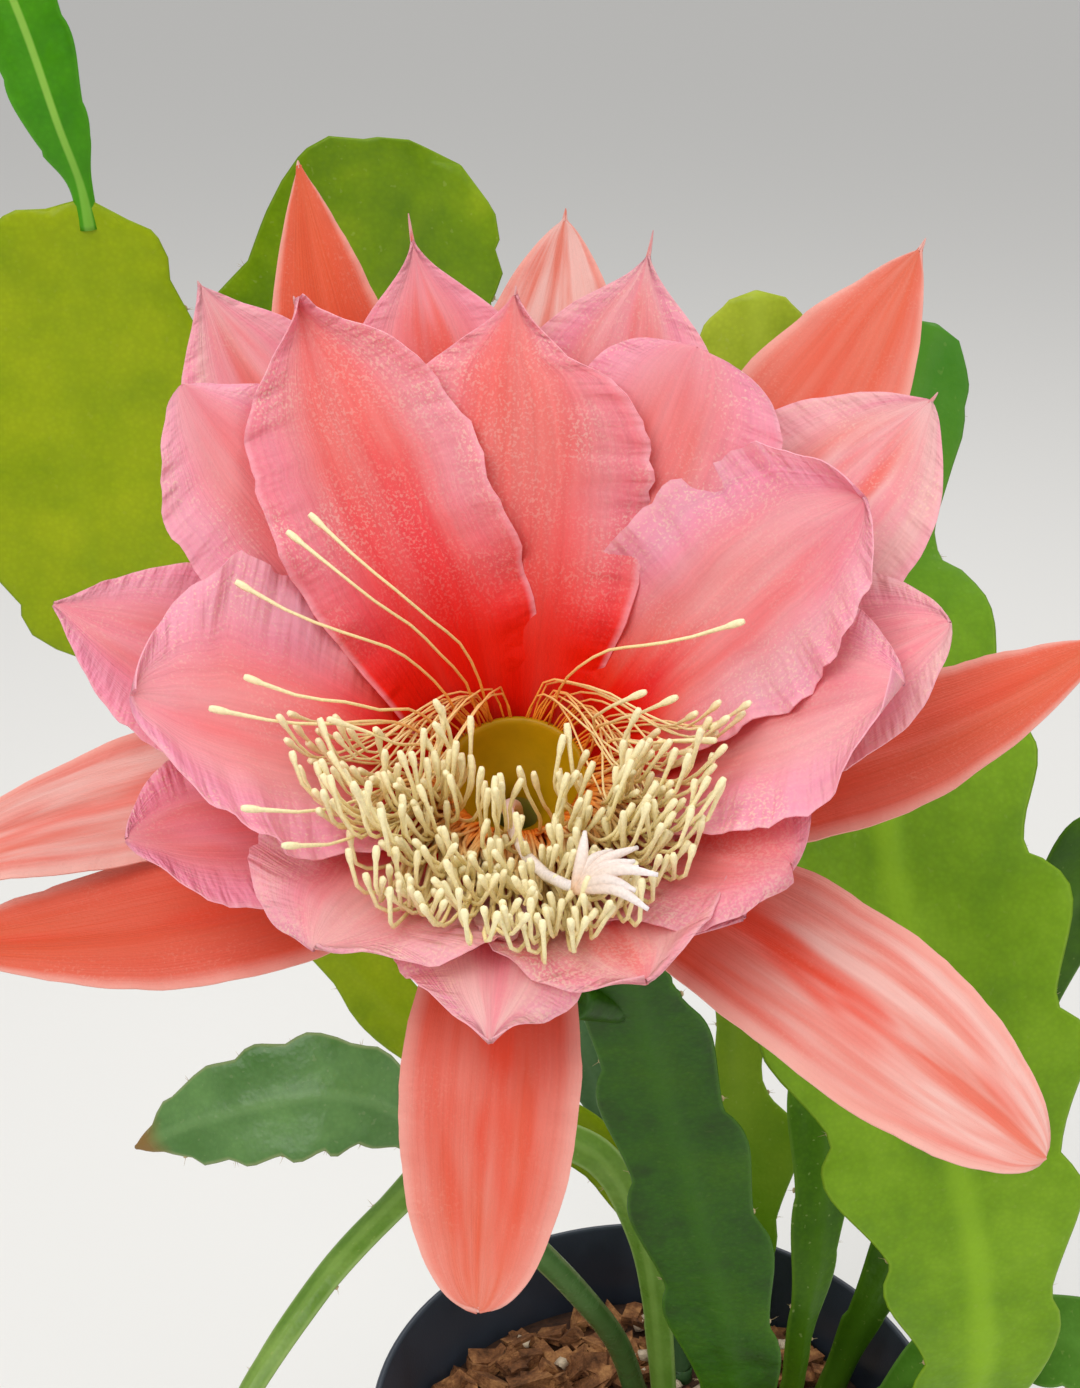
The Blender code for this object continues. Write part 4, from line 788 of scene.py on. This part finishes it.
stemLook = {
    "base": "#6f9a12", "dark": "#5f8a0e", "light": "#7faa1c", "mottle": 0.06, "rib": "#9cc83c", "ribWide": 4.0,
    "ribShare": 0.4, "edge": "#8fae2c", "edgeShare": 0.5, "foot": "#4c6a12", "footTo": 0.35, "footShare": 0.5,
    "flecks": 0.15, "fleck": "#b8c070", "roughness": 0.40, "through": 0.10, "tip": "#8a6434", "tipFrom": 0.96,
    "tipShare": 0.0,
}
stems = {
    "stem_bearing": dict(
        root=(18, -22), path=[(17, -31, 147, 6), (15, -41, 182, 10), (6, -52, 230, 14), (-5, -66, 279, 13.5),
                              (-12, -79, 310, 11), (-15, -86, 328, 7.5)],
        facing=(-95, 15), lobes=5, notch=0.20, start=0.14, tip=(16, 2.0), stalk=4.2,
        look=dict(base="#2c5a00", dark="#223f00", light="#3a6600", rib="#3a6c06", edge="#44740a", foot="#244604",
                  fleck="#7f9c50", flecks=0.08, mottle=0.12)),
    "stem_right": dict(
        root=(40, -12), path=[(50, -23, 134, 5), (62, -36, 160, 11), (69, -44, 188, 15), (66, -46, 217, 21),
                              (59, -45, 247, 28), (49, -40, 285, 35), (42, -28, 316, 34), (40, -6, 345, 31),
                              (40, 14, 368, 20), (47, 25, 383, 13), (50, 31, 395, 16), (56, 36, 409, 11)],
        facing=(-86, 8), lobes=8, notch=0.20, start=0.16, tip=(14, 2.8), stalk=5,
        look=dict(base="#76a00e", dark="#68920e", light="#84ae1c", rib="#98c424", ribWide=5.0, ribShare=0.55,
                  edge="#8cb028", foot="#6a9a10", flecks=0.08, tip="#2f7418", tipFrom=0.7, tipShare=0.85)),
    "stem_left": dict(
        root=(19, 10), path=[(17, 11, 130, 4), (9, 15, 160, 5.5), (-1, 20, 181, 7), (-16, 25, 197, 8),
                             (-39, 29, 213, 9), (-64, 30, 235, 9.5), (-87, 25, 271, 8), (-107, 15, 314, 7),
                             (-117, 10, 342, 9), (-122, 8, 357, 21), (-125, 6, 376, 29), (-125, 5, 400, 30),
                             (-122, 3, 420, 27), (-118, 0, 443, 17)],
        facing=(-84, 8), lobes=8, notch=0.20, start=0.12, tip=(20, 2.8), stalk=4.6,
        look=dict(base="#9cb006", dark="#8ca404", light="#aaba0c", rib="#a0b410", ribShare=0.15, edge="#86a00a",
                  foot="#5f7c08", footTo=0.6, fleck="#b4b848", flecks=0.15, through=0.25)),
    "stem_back": dict(
        root=(24, 46), path=[(23, 49, 132, 6), (20, 53, 152, 8), (10, 60, 190, 11), (-8, 66, 222, 12),
                             (-32, 69, 262, 14), (-58, 66, 312, 21), (-75, 61, 358, 31), (-78, 57, 382, 33),
                             (-74, 55, 400, 33), (-66, 52, 416, 32), (-56, 48.5, 430, 27), (-47, 46, 441, 18)],
        facing=(-88, 6), lobes=7, notch=0.19, start=0.14, tip=(16, 2.4), stalk=4.6,
        look=dict(base="#6f9004", dark="#5e8006", light="#86a00c", rib="#7e9a14", ribShare=0.2, edge="#7c9a10",
                  foot="#3c5a08", footTo=0.7)),
    "stem_back_right": dict(
        root=(21, 30), path=[(21, 31, 145, 8), (21, 30, 175, 14), (21, 31, 200, 16), (21, 34, 214, 7),
                             (21, 37, 235, 8), (22, 45, 290, 11), (22, 50, 345, 14), (20, 51, 385, 15),
                             (18, 50, 413, 12)],
        facing=(-92, 4), lobes=7, notch=0.19, start=0.12, tip=(12, 2.6), stalk=4.2,
        look=dict(base="#a2b228", dark="#92a420", light="#b2c034", rib="#b4c43c", edge="#b0bc3c", foot="#4c8410",
                  footTo=0.8, footShare=0.9, through=0.2)),
    "stem_slim": dict(
        root=(33, 6), path=[(34, 1, 135, 3.4), (35, -6, 168, 4.4), (37, -4, 192, 7), (38, 2, 215, 9),
                            (35, 10, 243, 8), (33, 16, 262, 5)],
        facing=(-70, 6), lobes=4, notch=0.14, start=0.2, tip=(12, 1.7), stalk=3.4,
        look=dict(base="#48740c", dark="#38620a", light="#588414", rib="#5c8a18", edge="#6c9228", fleck="#a4b86c",
                  mottle=0.12, flecks=0.5)),
    "stem_leaf": dict(
        root=(-4, 26), path=[(-10, 17, 142, 3.6), (-21, 2, 172, 3.5), (-36, -14, 205, 3.4), (-50, -25, 234, 3.8),
                             (-62, -30, 250, 9), (-75, -31, 255, 13.5), (-92, -31, 252, 13), (-108, -30, 246, 9),
                             (-120, -30, 240, 4.5)],
        facing=(-96, 34), lobes=8, notch=0.14, start=0.58, tip=(16, 1.5), stalk=3.4,
        look=dict(base="#587e44", dark="#4c7438", light="#648c4c", rib="#74985c", ribWide=2.0, edge="#9aa070",
                  foot="#47702c", fleck="#a0a880", roughness=0.26, tipShare=0.9)),
    "stem_arching": dict(
        root=(3, -2), path=[(1, 1, 150, 3.8), (-4, 4, 186, 4.2), (-15, 6, 209, 4.6), (-34, 6, 217, 4.8),
                            (-50, 0, 217, 4.6), (-63, -10, 210, 4.2), (-78, -25, 201, 3.8), (-94, -43, 186, 3.2),
                            (-103, -53, 173, 2.4)],
        facing=(-120, 46), lobes=4, notch=0.08, start=0.2, tip=(14, 1.5), stalk=3.6,
        look=dict(base="#688c34", dark="#5a8028", light="#7c9c44", rib="#8cac54", ribWide=1.5, edge="#a4bc74",
                  foot="#4c7820", roughness=0.3)),
    "stem_edge": dict(
        root=(48, 24), path=[(56, 26, 142, 6), (67, 28, 172, 9), (81, 31, 210, 11), (95, 34, 252, 12),
                             (104, 32, 280, 12), (109, 28, 298, 8)],
        facing=(-82, 6), lobes=4, notch=0.16, start=0.14, tip=(14, 2.4), stalk=4.2,
        look=dict(base="#3e6604", dark="#325806", light="#4c760a", rib="#54801c", edge="#5c8420", foot="#345408")),
    "stem_low": dict(
        root=(53, 3), path=[(61, 1, 141, 4.2), (74, -4, 160, 8), (88, -10, 169, 11), (102, -19, 172, 12),
                            (117, -28, 170, 9), (129, -34, 165, 4)],
        facing=(-80, 40), lobes=4, notch=0.16, start=0.2, tip=(14, 1.7), stalk=3.8,
        look=dict(base="#4f8420", dark="#42761c", light="#5c902c", rib="#689c38", edge="#74a048", foot="#3c6c18")),
    "stem_grey": dict(
        root=(9, 35), path=[(5, 38, 132, 3.8), (1.5, 42, 148, 4.4), (-1.5, 45, 166, 3.8), (-9, 48, 190, 7),
                            (-17, 50, 208, 8), (-24, 51, 224, 5)],
        facing=(-92, 4), lobes=4, notch=0.14, start=0.3, tip=(12, 1.8), stalk=3.4,
        look=dict(base="#4c7044", dark="#40643a", light="#5c8054", rib="#6c8c64", edge="#7c9870", foot="#3c5c34")),
}
# the young shoot on the left stem's shoulder
shoot = dict(
    path=[(-118, 0.5, 437, 2.2), (-118.8, -0.5, 446, 2.8), (-121, -5, 458, 6), (-124, -11, 476, 8),
          (-128, -18, 494, 7.5), (-133, -26, 514, 4.5)],
    facing=(-75, 0), lobes=4, notch=0.10, start=0.2, tip=(16, 1.7), stalk=2.2, rings=70,
    look=dict(base="#4c9e0c", dark="#3e8e08", light="#5cae16", rib="#a4d858", ribWide=0.9, ribShare=0.9,
              edge="#5cae1c", foot="#4c9e0c", flecks=0.0, roughness=0.32, through=0.25))
stemForm = {"sides": 36, "ringsPerLobe": 20, "middle": 1.15, "edge": 0.45, "rib": 0.75, "ribWide": 2.3,
            "mixLevel": 112, "stalkRise": 4, "rootDepth": 18, "fold": 0.10, "farOffRib": 9.0}


def lobeBump(phase):  # from notch to notch: swells slowly and closes fast
    u = phase % 1.0
    return math.sin(math.pi * u * u) ** 0.8


def tipTaper(along, length, tip):
    reach, bluntness = tip
    left = (1 - along) * length
    if left >= reach:
        return 1.0
    return max(0.0, 1 - (1 - left / reach) ** bluntness) ** (1 / bluntness)


def stemFrames(points, spec, rings):
    lobes, notch, start, tip, stalk = (spec[key] for key in ("lobes", "notch", "start", "tip", "stalk"))
    azimuth, elevation = (math.radians(v) for v in spec["facing"])
    front = Vector((math.cos(azimuth) * math.cos(elevation), math.sin(azimuth) * math.cos(elevation),
                    math.sin(elevation)))
    steps = 16 * (len(points) - 1)
    dense = [catmull(points, (len(points) - 1) * i / steps) for i in range(steps + 1)]
    lengths = [0.0]
    for p, q in zip(dense, dense[1:]):
        lengths.append(lengths[-1] + (Vector(q[:3]) - Vector(p[:3])).length)
    total = lengths[-1]
    frames = []
    for i in range(rings + 1):
        along = i / rings
        along = along if along < 0.9 else 0.9 + 0.1 * (1 - (1 - (along - 0.9) * 10) ** 1.5)
        k = 0
        while k < steps - 1 and lengths[k + 1] < along * total:
            k += 1
        u = (along * total - lengths[k]) / (lengths[k + 1] - lengths[k])
        centre = Vector(dense[k][:3]).lerp(Vector(dense[k + 1][:3]), u)
        wide = dense[k][3] + (dense[k + 1][3] - dense[k][3]) * u
        before, after = max(k - 2, 0), min(k + 3, steps)
        tangent = (Vector(dense[after][:3]) - Vector(dense[before][:3])).normalized()
        across = tangent.cross(front).normalized()
        normal = across.cross(tangent)
        bladed = smooth(along, 0, start)
        taper = tipTaper(along, total, tip)
        wide = max(max(wide, stalk * (1 - bladed)) * taper, 0.5)
        phase = lobes * max(0.0, along - start) / (1 - start)
        halves = [wide * (1 - (notch * bladed * (1 - lobeBump(phase + offset)) if along > start else 0.0))
                  * (1 - 0.13 * (1 - bladed)) for offset in (0.0, 0.5)]
        frames.append(dict(centre=centre, across=across, normal=normal, left=halves[0], right=halves[1],
                           wide=wide, bladed=bladed, taper=taper, phase=phase, along=along, tangent=tangent,
                           total=total, reach=tip[0]))
    return frames


def shapeBlade(blade, frames, stalk, seed):
    rings = len(frames) - 1
    offRib, nearEdge, along = [], [], []
    for vert in blade.data.vertices:
        f = frames[round(vert.co.z * rings)]
        c, s = vert.co.x, vert.co.y
        a = math.copysign(abs(c) ** 1.5, c)
        half = f["right"] if a > 0 else f["left"]
        x = half * a
        share = abs(a)
        # small scallops run round the blunt tip
        left = (1 - f["along"]) * f["total"]
        tipUp = max(0.0, f["reach"] - left)
        scallops = 4 if f["reach"] > 15 else 2
        dip = 0.10 * (1 - abs(math.cos(scallops * math.atan2(x, tipUp + 1e-6)))) ** 1.5 if tipUp > 0 else 0.0
        thick = stemForm["edge"] + (stemForm["middle"] - stemForm["edge"]) * (1 - share ** 1.6)
        thick += stemForm["rib"] * math.exp(-(x / stemForm["ribWide"]) ** 2)
        thick *= min(1.0, half / 3.5) * min(1.0, 0.35 + 0.65 * f["taper"]) * (1 - share ** 12) ** 0.5
        y = math.copysign(thick, s) if abs(s) > 1e-6 else 0.0
        # a shallow furrow climbs from the rib to each notch, and the blade waves a little
        offset = 0.5 if a > 0 else 0.0
        furrow = (f["phase"] + offset + 0.45 * (1 - share)) % 1.0
        y -= math.copysign(0.22, s) * math.exp(-(min(furrow, 1 - furrow) / 0.09) ** 2) * math.sin(math.pi * share)
        y += noise.noise(Vector((x / 16, f["along"] * f["total"] / 26, seed))) * 1.1 * share * f["bladed"]
        y -= stemForm["fold"] * abs(x)
        flat = f["across"] * x * (1 - dip) - f["normal"] * y - f["tangent"] * tipUp * dip
        rounded = (f["across"] * c - f["normal"] * s) * stalk * 0.93
        vert.co = (f["centre"] + rounded.lerp(flat, f["bladed"])) * mm
        offRib.append(abs(x))
        nearEdge.append(half - abs(x))
        along.append(f["along"])
    setSpreads(blade, {"offRib": offRib, "nearEdge": nearEdge, "along": along})


def setStalkSpreads(piece, along):  # a stalk has neither rib nor margin
    setSpreads(piece, {"offRib": stemForm["farOffRib"], "nearEdge": stemForm["farOffRib"], "along": along})


# Felt cushion in each notch, with a few short bristles
areoleSkin = plainWax("areoleFelt", {"ramp": [(0.3, "#a08a60"), (0.7, "#c8b48c")], "cloudScale": 900.0, "bump": 0.8,
                                     "roughness": 0.85})
deselectAll()
bpy.ops.mesh.primitive_ico_sphere_add(subdivisions=2, radius=1)
feltTemplate = bpy.context.object
for vert in feltTemplate.data.vertices:
    vert.co *= 1 + 0.22 * noise.noise(vert.co * 2.3)
bristleTemplate = addTube("bristle", 4, 2)
areoleParts = []


def addAreole(place, out, tangent, normal, size, draw):
    felt = copyOf(feltTemplate, "felt")
    for vert in felt.data.vertices:
        c = vert.co.copy()
        vert.co = (place + out * c.x * size * 0.55 + tangent * c.y * size + normal * c.z * size * 0.6) * mm
    areoleParts.append(felt)
    for k in range(draw.randint(1, 3)):
        way = (out + tangent * draw.uniform(-0.2, 0.9) + normal * draw.uniform(-0.5, 0.5)).normalized()
        bristle = copyOf(bristleTemplate, "bristle")
        long = draw.uniform(1.2, 2.4)
        for vert in bristle.data.vertices:
            c = vert.co.copy()
            wide = 0.09 * (1 - 0.8 * c.z)
            vert.co = (place + way * (c.z * long) + tangent * c.y * wide + normal * c.x * wide) * mm
        areoleParts.append(bristle)


draw = random.Random(11)
for number, (name, spec) in enumerate(stems.items()):
    x, y = spec["root"]
    points = [(x, y, stemForm["mixLevel"] + stemForm["stalkRise"], spec["stalk"])] + spec["path"]
    rings = round(stemForm["ringsPerLobe"] * spec["lobes"] / (1 - spec["start"]))
    frames = stemFrames(points, spec, rings)
    blade = addTube(name + "_blade", stemForm["sides"], rings - 1)
    shapeBlade(blade, frames, spec["stalk"], number * 3.7)
    parts = [blade]
    stalk = addTube("stalk", stemForm["sides"], 5)
    for vert in stalk.data.vertices:
        level = stemForm["mixLevel"] - stemForm["rootDepth"] + vert.co.z * (stemForm["rootDepth"] + 5)
        f = frames[0]
        flat = f["across"] * vert.co.x - f["normal"] * vert.co.y
        vert.co = (Vector((x, y, level)) + Vector((flat.x, flat.y, 0)).normalized() * spec["stalk"] * 0.92) * mm
    setStalkSpreads(stalk, 0.0)
    parts.append(stalk)
    for side, key in ((-1, "left"), (1, "right")):
        phases = [f["phase"] + (0.5 if side > 0 else 0.0) for f in frames]
        for i in range(1, len(frames) - 1):
            if phases[i - 1] % 1.0 > phases[i] % 1.0 and frames[i]["bladed"] > 0.8 and frames[i]["taper"] > 0.6:
                f = frames[i]
                place = f["centre"] + f["across"] * side * (f[key] - 0.1)
                addAreole(place, f["across"] * side, f["tangent"], f["normal"], min(1.0, 0.5 + f["wide"] / 40), draw)
    if name == "stem_left":
        shootBlade = addTube("shoot", stemForm["sides"], shoot["rings"] - 1)
        shapeBlade(shootBlade, stemFrames(shoot["path"], shoot, shoot["rings"]), shoot["stalk"], 51.0)
        turnOutwards(shootBlade)
        shootSkin = stemCuticle("youngShootCuticle", dict(stemLook, **shoot["look"]))
        finishPiece([shootBlade], "shoot", (shootSkin,), "stem_left_skin")
    if name == "stem_bearing":
        start = peduncleRoot + Vector((4, 3, -3))  # well inside the stem's edge
        peduncle = addTube("peduncle", 20, 6)
        side = peduncleWay.orthogonal().normalized()
        other = peduncleWay.cross(side)
        for vert in peduncle.data.vertices:
            at = start.lerp(peduncleEnd, vert.co.z)
            wide = 3.0 + 0.6 * vert.co.z + 0.5 * math.exp(-((vert.co.z - 1) / 0.15) ** 2)
            vert.co = (at + (side * vert.co.x + other * vert.co.y) * wide) * mm
        setStalkSpreads(peduncle, 1.0)
        parts.append(peduncle)
    blade = joinAll(parts, name + "_blade")
    turnOutwards(blade)
    skin = stemCuticle(name + "Cuticle", dict(stemLook, **spec["look"]))
    finishPiece([blade], name + "_blade", (skin,), name + "_skin", name)
finishPiece(areoleParts, "areoles", (areoleSkin,), "anther_cream")
discard(feltTemplate)
discard(bristleTemplate)
print("stems stand")


# ---- pot

# Injection moulded polypropylene, near black with a faint blue cast, satin, a little scuffed
def pottingPlastic(name):
    made, tree = newMaterial(name)
    spot, ramp, cloud = cloudColour(tree, [(0.3, "#262b35"), (0.7, "#363d49")], 40.0, 4.0)
    grain = addNode(tree, "TexNoise", {"Vector": spot, "Scale": 1800.0, "Detail": 2.0})
    bump = addNode(tree, "Bump", {"Height": grain, "Strength": 0.25, "Distance": 0.0002})
    shine = addNode(tree, "MapRange", {"Value": cloud, "From Min": 0.3, "From Max": 0.7, "To Min": 0.32,
                                       "To Max": 0.46})
    setSurface(tree, {"Base Color": ramp, "Roughness": shine, "IOR": 1.49, "Normal": bump})
    return made


potLook = {
    "sides": 128, "drains": 6, "drainRadius": 5, "drainCircle": 42,
    "profile": [(52, 0), (70.1, 122), (72.5, 123.5), (73.5, 134), (73.1, 134.8), (72.2, 135), (71.6, 134.4),
                (68.4, 121.4), (49.9, 2.6)],
}
deselectAll()
bpy.ops.mesh.primitive_circle_add(vertices=potLook["sides"], radius=potLook["profile"][0][0] * mm,
                                  fill_type="NGON")
pot = bpy.context.object
pot.name = "nurseryPot"
raiseWall(potLook["profile"])
turnOutwards(pot)
for k in range(potLook["drains"]):
    angle = turn * (k + 0.5) / potLook["drains"]
    deselectAll()
    bpy.ops.mesh.primitive_cylinder_add(vertices=24, radius=potLook["drainRadius"] * mm, depth=10 * mm, location=(
        potLook["drainCircle"] * math.cos(angle) * mm, potLook["drainCircle"] * math.sin(angle) * mm, 1 * mm))
    drill = bpy.context.object
    addModifier(pot, "BOOLEAN", object=drill, operation="DIFFERENCE", solver="EXACT")
    discard(drill)
addModifier(pot, "BEVEL", width=0.35 * mm, segments=2, limit_method="ANGLE", angle_limit=math.radians(25))
finishPiece([pot], "nurseryPot", (pottingPlastic("mouldedPolypropylene"),), "pot_plastic", "pot", angle=30)


# ---- potting mix

# Composted bark: matte, fibrous, dark brown with redder torn faces
def barkCrumb(name, stops, stretch):
    made, tree = newMaterial(name)
    spot, ramp = cloudColour(tree, stops, 130.0, 5.0, 0.7)[:2]
    fibrePlace = addNode(tree, "VectorMath", {0: spot, 1: stretch}, operation="MULTIPLY")
    fibre = addNode(tree, "TexNoise", {"Vector": fibrePlace, "Scale": 600.0, "Detail": 4.0})
    bump = addNode(tree, "Bump", {"Height": fibre, "Strength": 0.9, "Distance": 0.0008})
    setSurface(tree, {"Base Color": ramp, "Roughness": 0.88, "IOR": 1.4, "Normal": bump})
    return made


mixLook = {
    "level": 112, "chips": 330, "grit": 90, "scatter": 64.0, "keepIn": 66, "swell": 2.2,
    "profile": [(49.4, 2.9), (66.2, 111)] + [(r, 112) for r in (62, 58, 53, 48, 43, 38, 33, 28, 23, 18, 13, 8, 4)],
}
mixFloor, mixBottom = mixLook["profile"][0]
deselectAll()
bpy.ops.mesh.primitive_circle_add(vertices=72, radius=mixFloor * mm, fill_type="NGON",
                                  location=(0, 0, mixBottom * mm))
mix = bpy.context.object
bpy.ops.object.transform_apply(location=True)
raiseWall(mixLook["profile"])
for vert in mix.data.vertices:
    if vert.co.z > 111.5 * mm:
        vert.co.z += noise.noise(vert.co / mm / 7) * mixLook["swell"] * mm
turnOutwards(mix)

chipTemplates = []
for k in range(4):
    deselectAll()
    bpy.ops.mesh.primitive_cube_add(size=2)
    chip = bpy.context.object
    bpy.ops.object.mode_set(mode="EDIT")
    bpy.ops.mesh.select_all(action="SELECT")
    bpy.ops.mesh.subdivide(number_cuts=1)
    bpy.ops.object.mode_set(mode="OBJECT")
    for vert in chip.data.vertices:
        vert.co *= 1 + 0.38 * noise.noise(vert.co * 1.3 + Vector((k * 5.1, 0, 0)))
    chipTemplates.append(chip)
draw = random.Random(31)
holes = [(Vector((*spec["root"], 0)), spec["stalk"]) for spec in stems.values()]


def scatterChips(count, sizes, heights):
    made = []
    while len(made) < count:
        r, around = mixLook["scatter"] * math.sqrt(draw.random()), draw.uniform(0, turn)
        size = Vector([draw.uniform(*s) for s in sizes])
        spot = Vector((r * math.cos(around), r * math.sin(around), 0))
        reach = max(size)
        if r + reach > mixLook["keepIn"] or any((spot - h).length < s + reach * 0.8 for h, s in holes):
            continue
        chip = copyOf(chipTemplates[draw.randrange(4)], "chip")
        spin = Matrix.Rotation(draw.uniform(0, turn), 3, "Z") @ Matrix.Rotation(draw.gauss(0, 0.35), 3, "X") \
            @ Matrix.Rotation(draw.gauss(0, 0.35), 3, "Y")
        base = spot + Vector((0, 0, mixLook["level"] + draw.uniform(*heights)))
        for vert in chip.data.vertices:
            c = vert.co
            vert.co = (base + spin @ Vector((c.x * size.x, c.y * size.y, c.z * size.z))) * mm
        made.append(chip)
    return made


chips = scatterChips(mixLook["chips"], ((2.5, 6.5), (1.5, 3.6), (0.8, 1.9)), (0.2, 2.6))
grit = scatterChips(mixLook["grit"], ((0.8, 2.0), (0.8, 1.6), (0.7, 1.4)), (1.6, 3.6))
even = (1.0, 1.0, 1.0)
barkBed = barkCrumb("compostedBark", [(0.3, "#2a1a10"), (0.55, "#4a2e1e"), (0.75, "#6a4228")], even)
barkChip = barkCrumb("tornBark", [(0.36, "#4a2c16"), (0.5, "#7c4f2e"), (0.64, "#b07c4c")], (1.0, 1.0, 3.0))
gritSkin = barkCrumb("pumiceGrit", [(0.3, "#b8a084"), (0.7, "#dccab0")], even)
finishPiece([mix], "barkBed", (barkBed,), "bark_mix", "potting_mix")
finishPiece(chips, "barkChips", (barkChip,), "bark_mix", angle=40)
finishPiece(grit, "gritCrumbs", (gritSkin,), "bark_mix")
for chip in chipTemplates:
    discard(chip)
print("pot is filled")


# ---- floor

deselectAll()
bpy.ops.mesh.primitive_plane_add(size=24, location=(0, 0, 0))
floor = bpy.context.object
floor.name = "studioFloor"
floorSkin, tree = newMaterial("palePaper")  # matte, so that the floor mirrors nothing
setSurface(tree, {"Base Color": hexToLinear("#e6e4e0"), "Roughness": 0.9})
setMaterials(floor, floorSkin)

print("scene is whole")
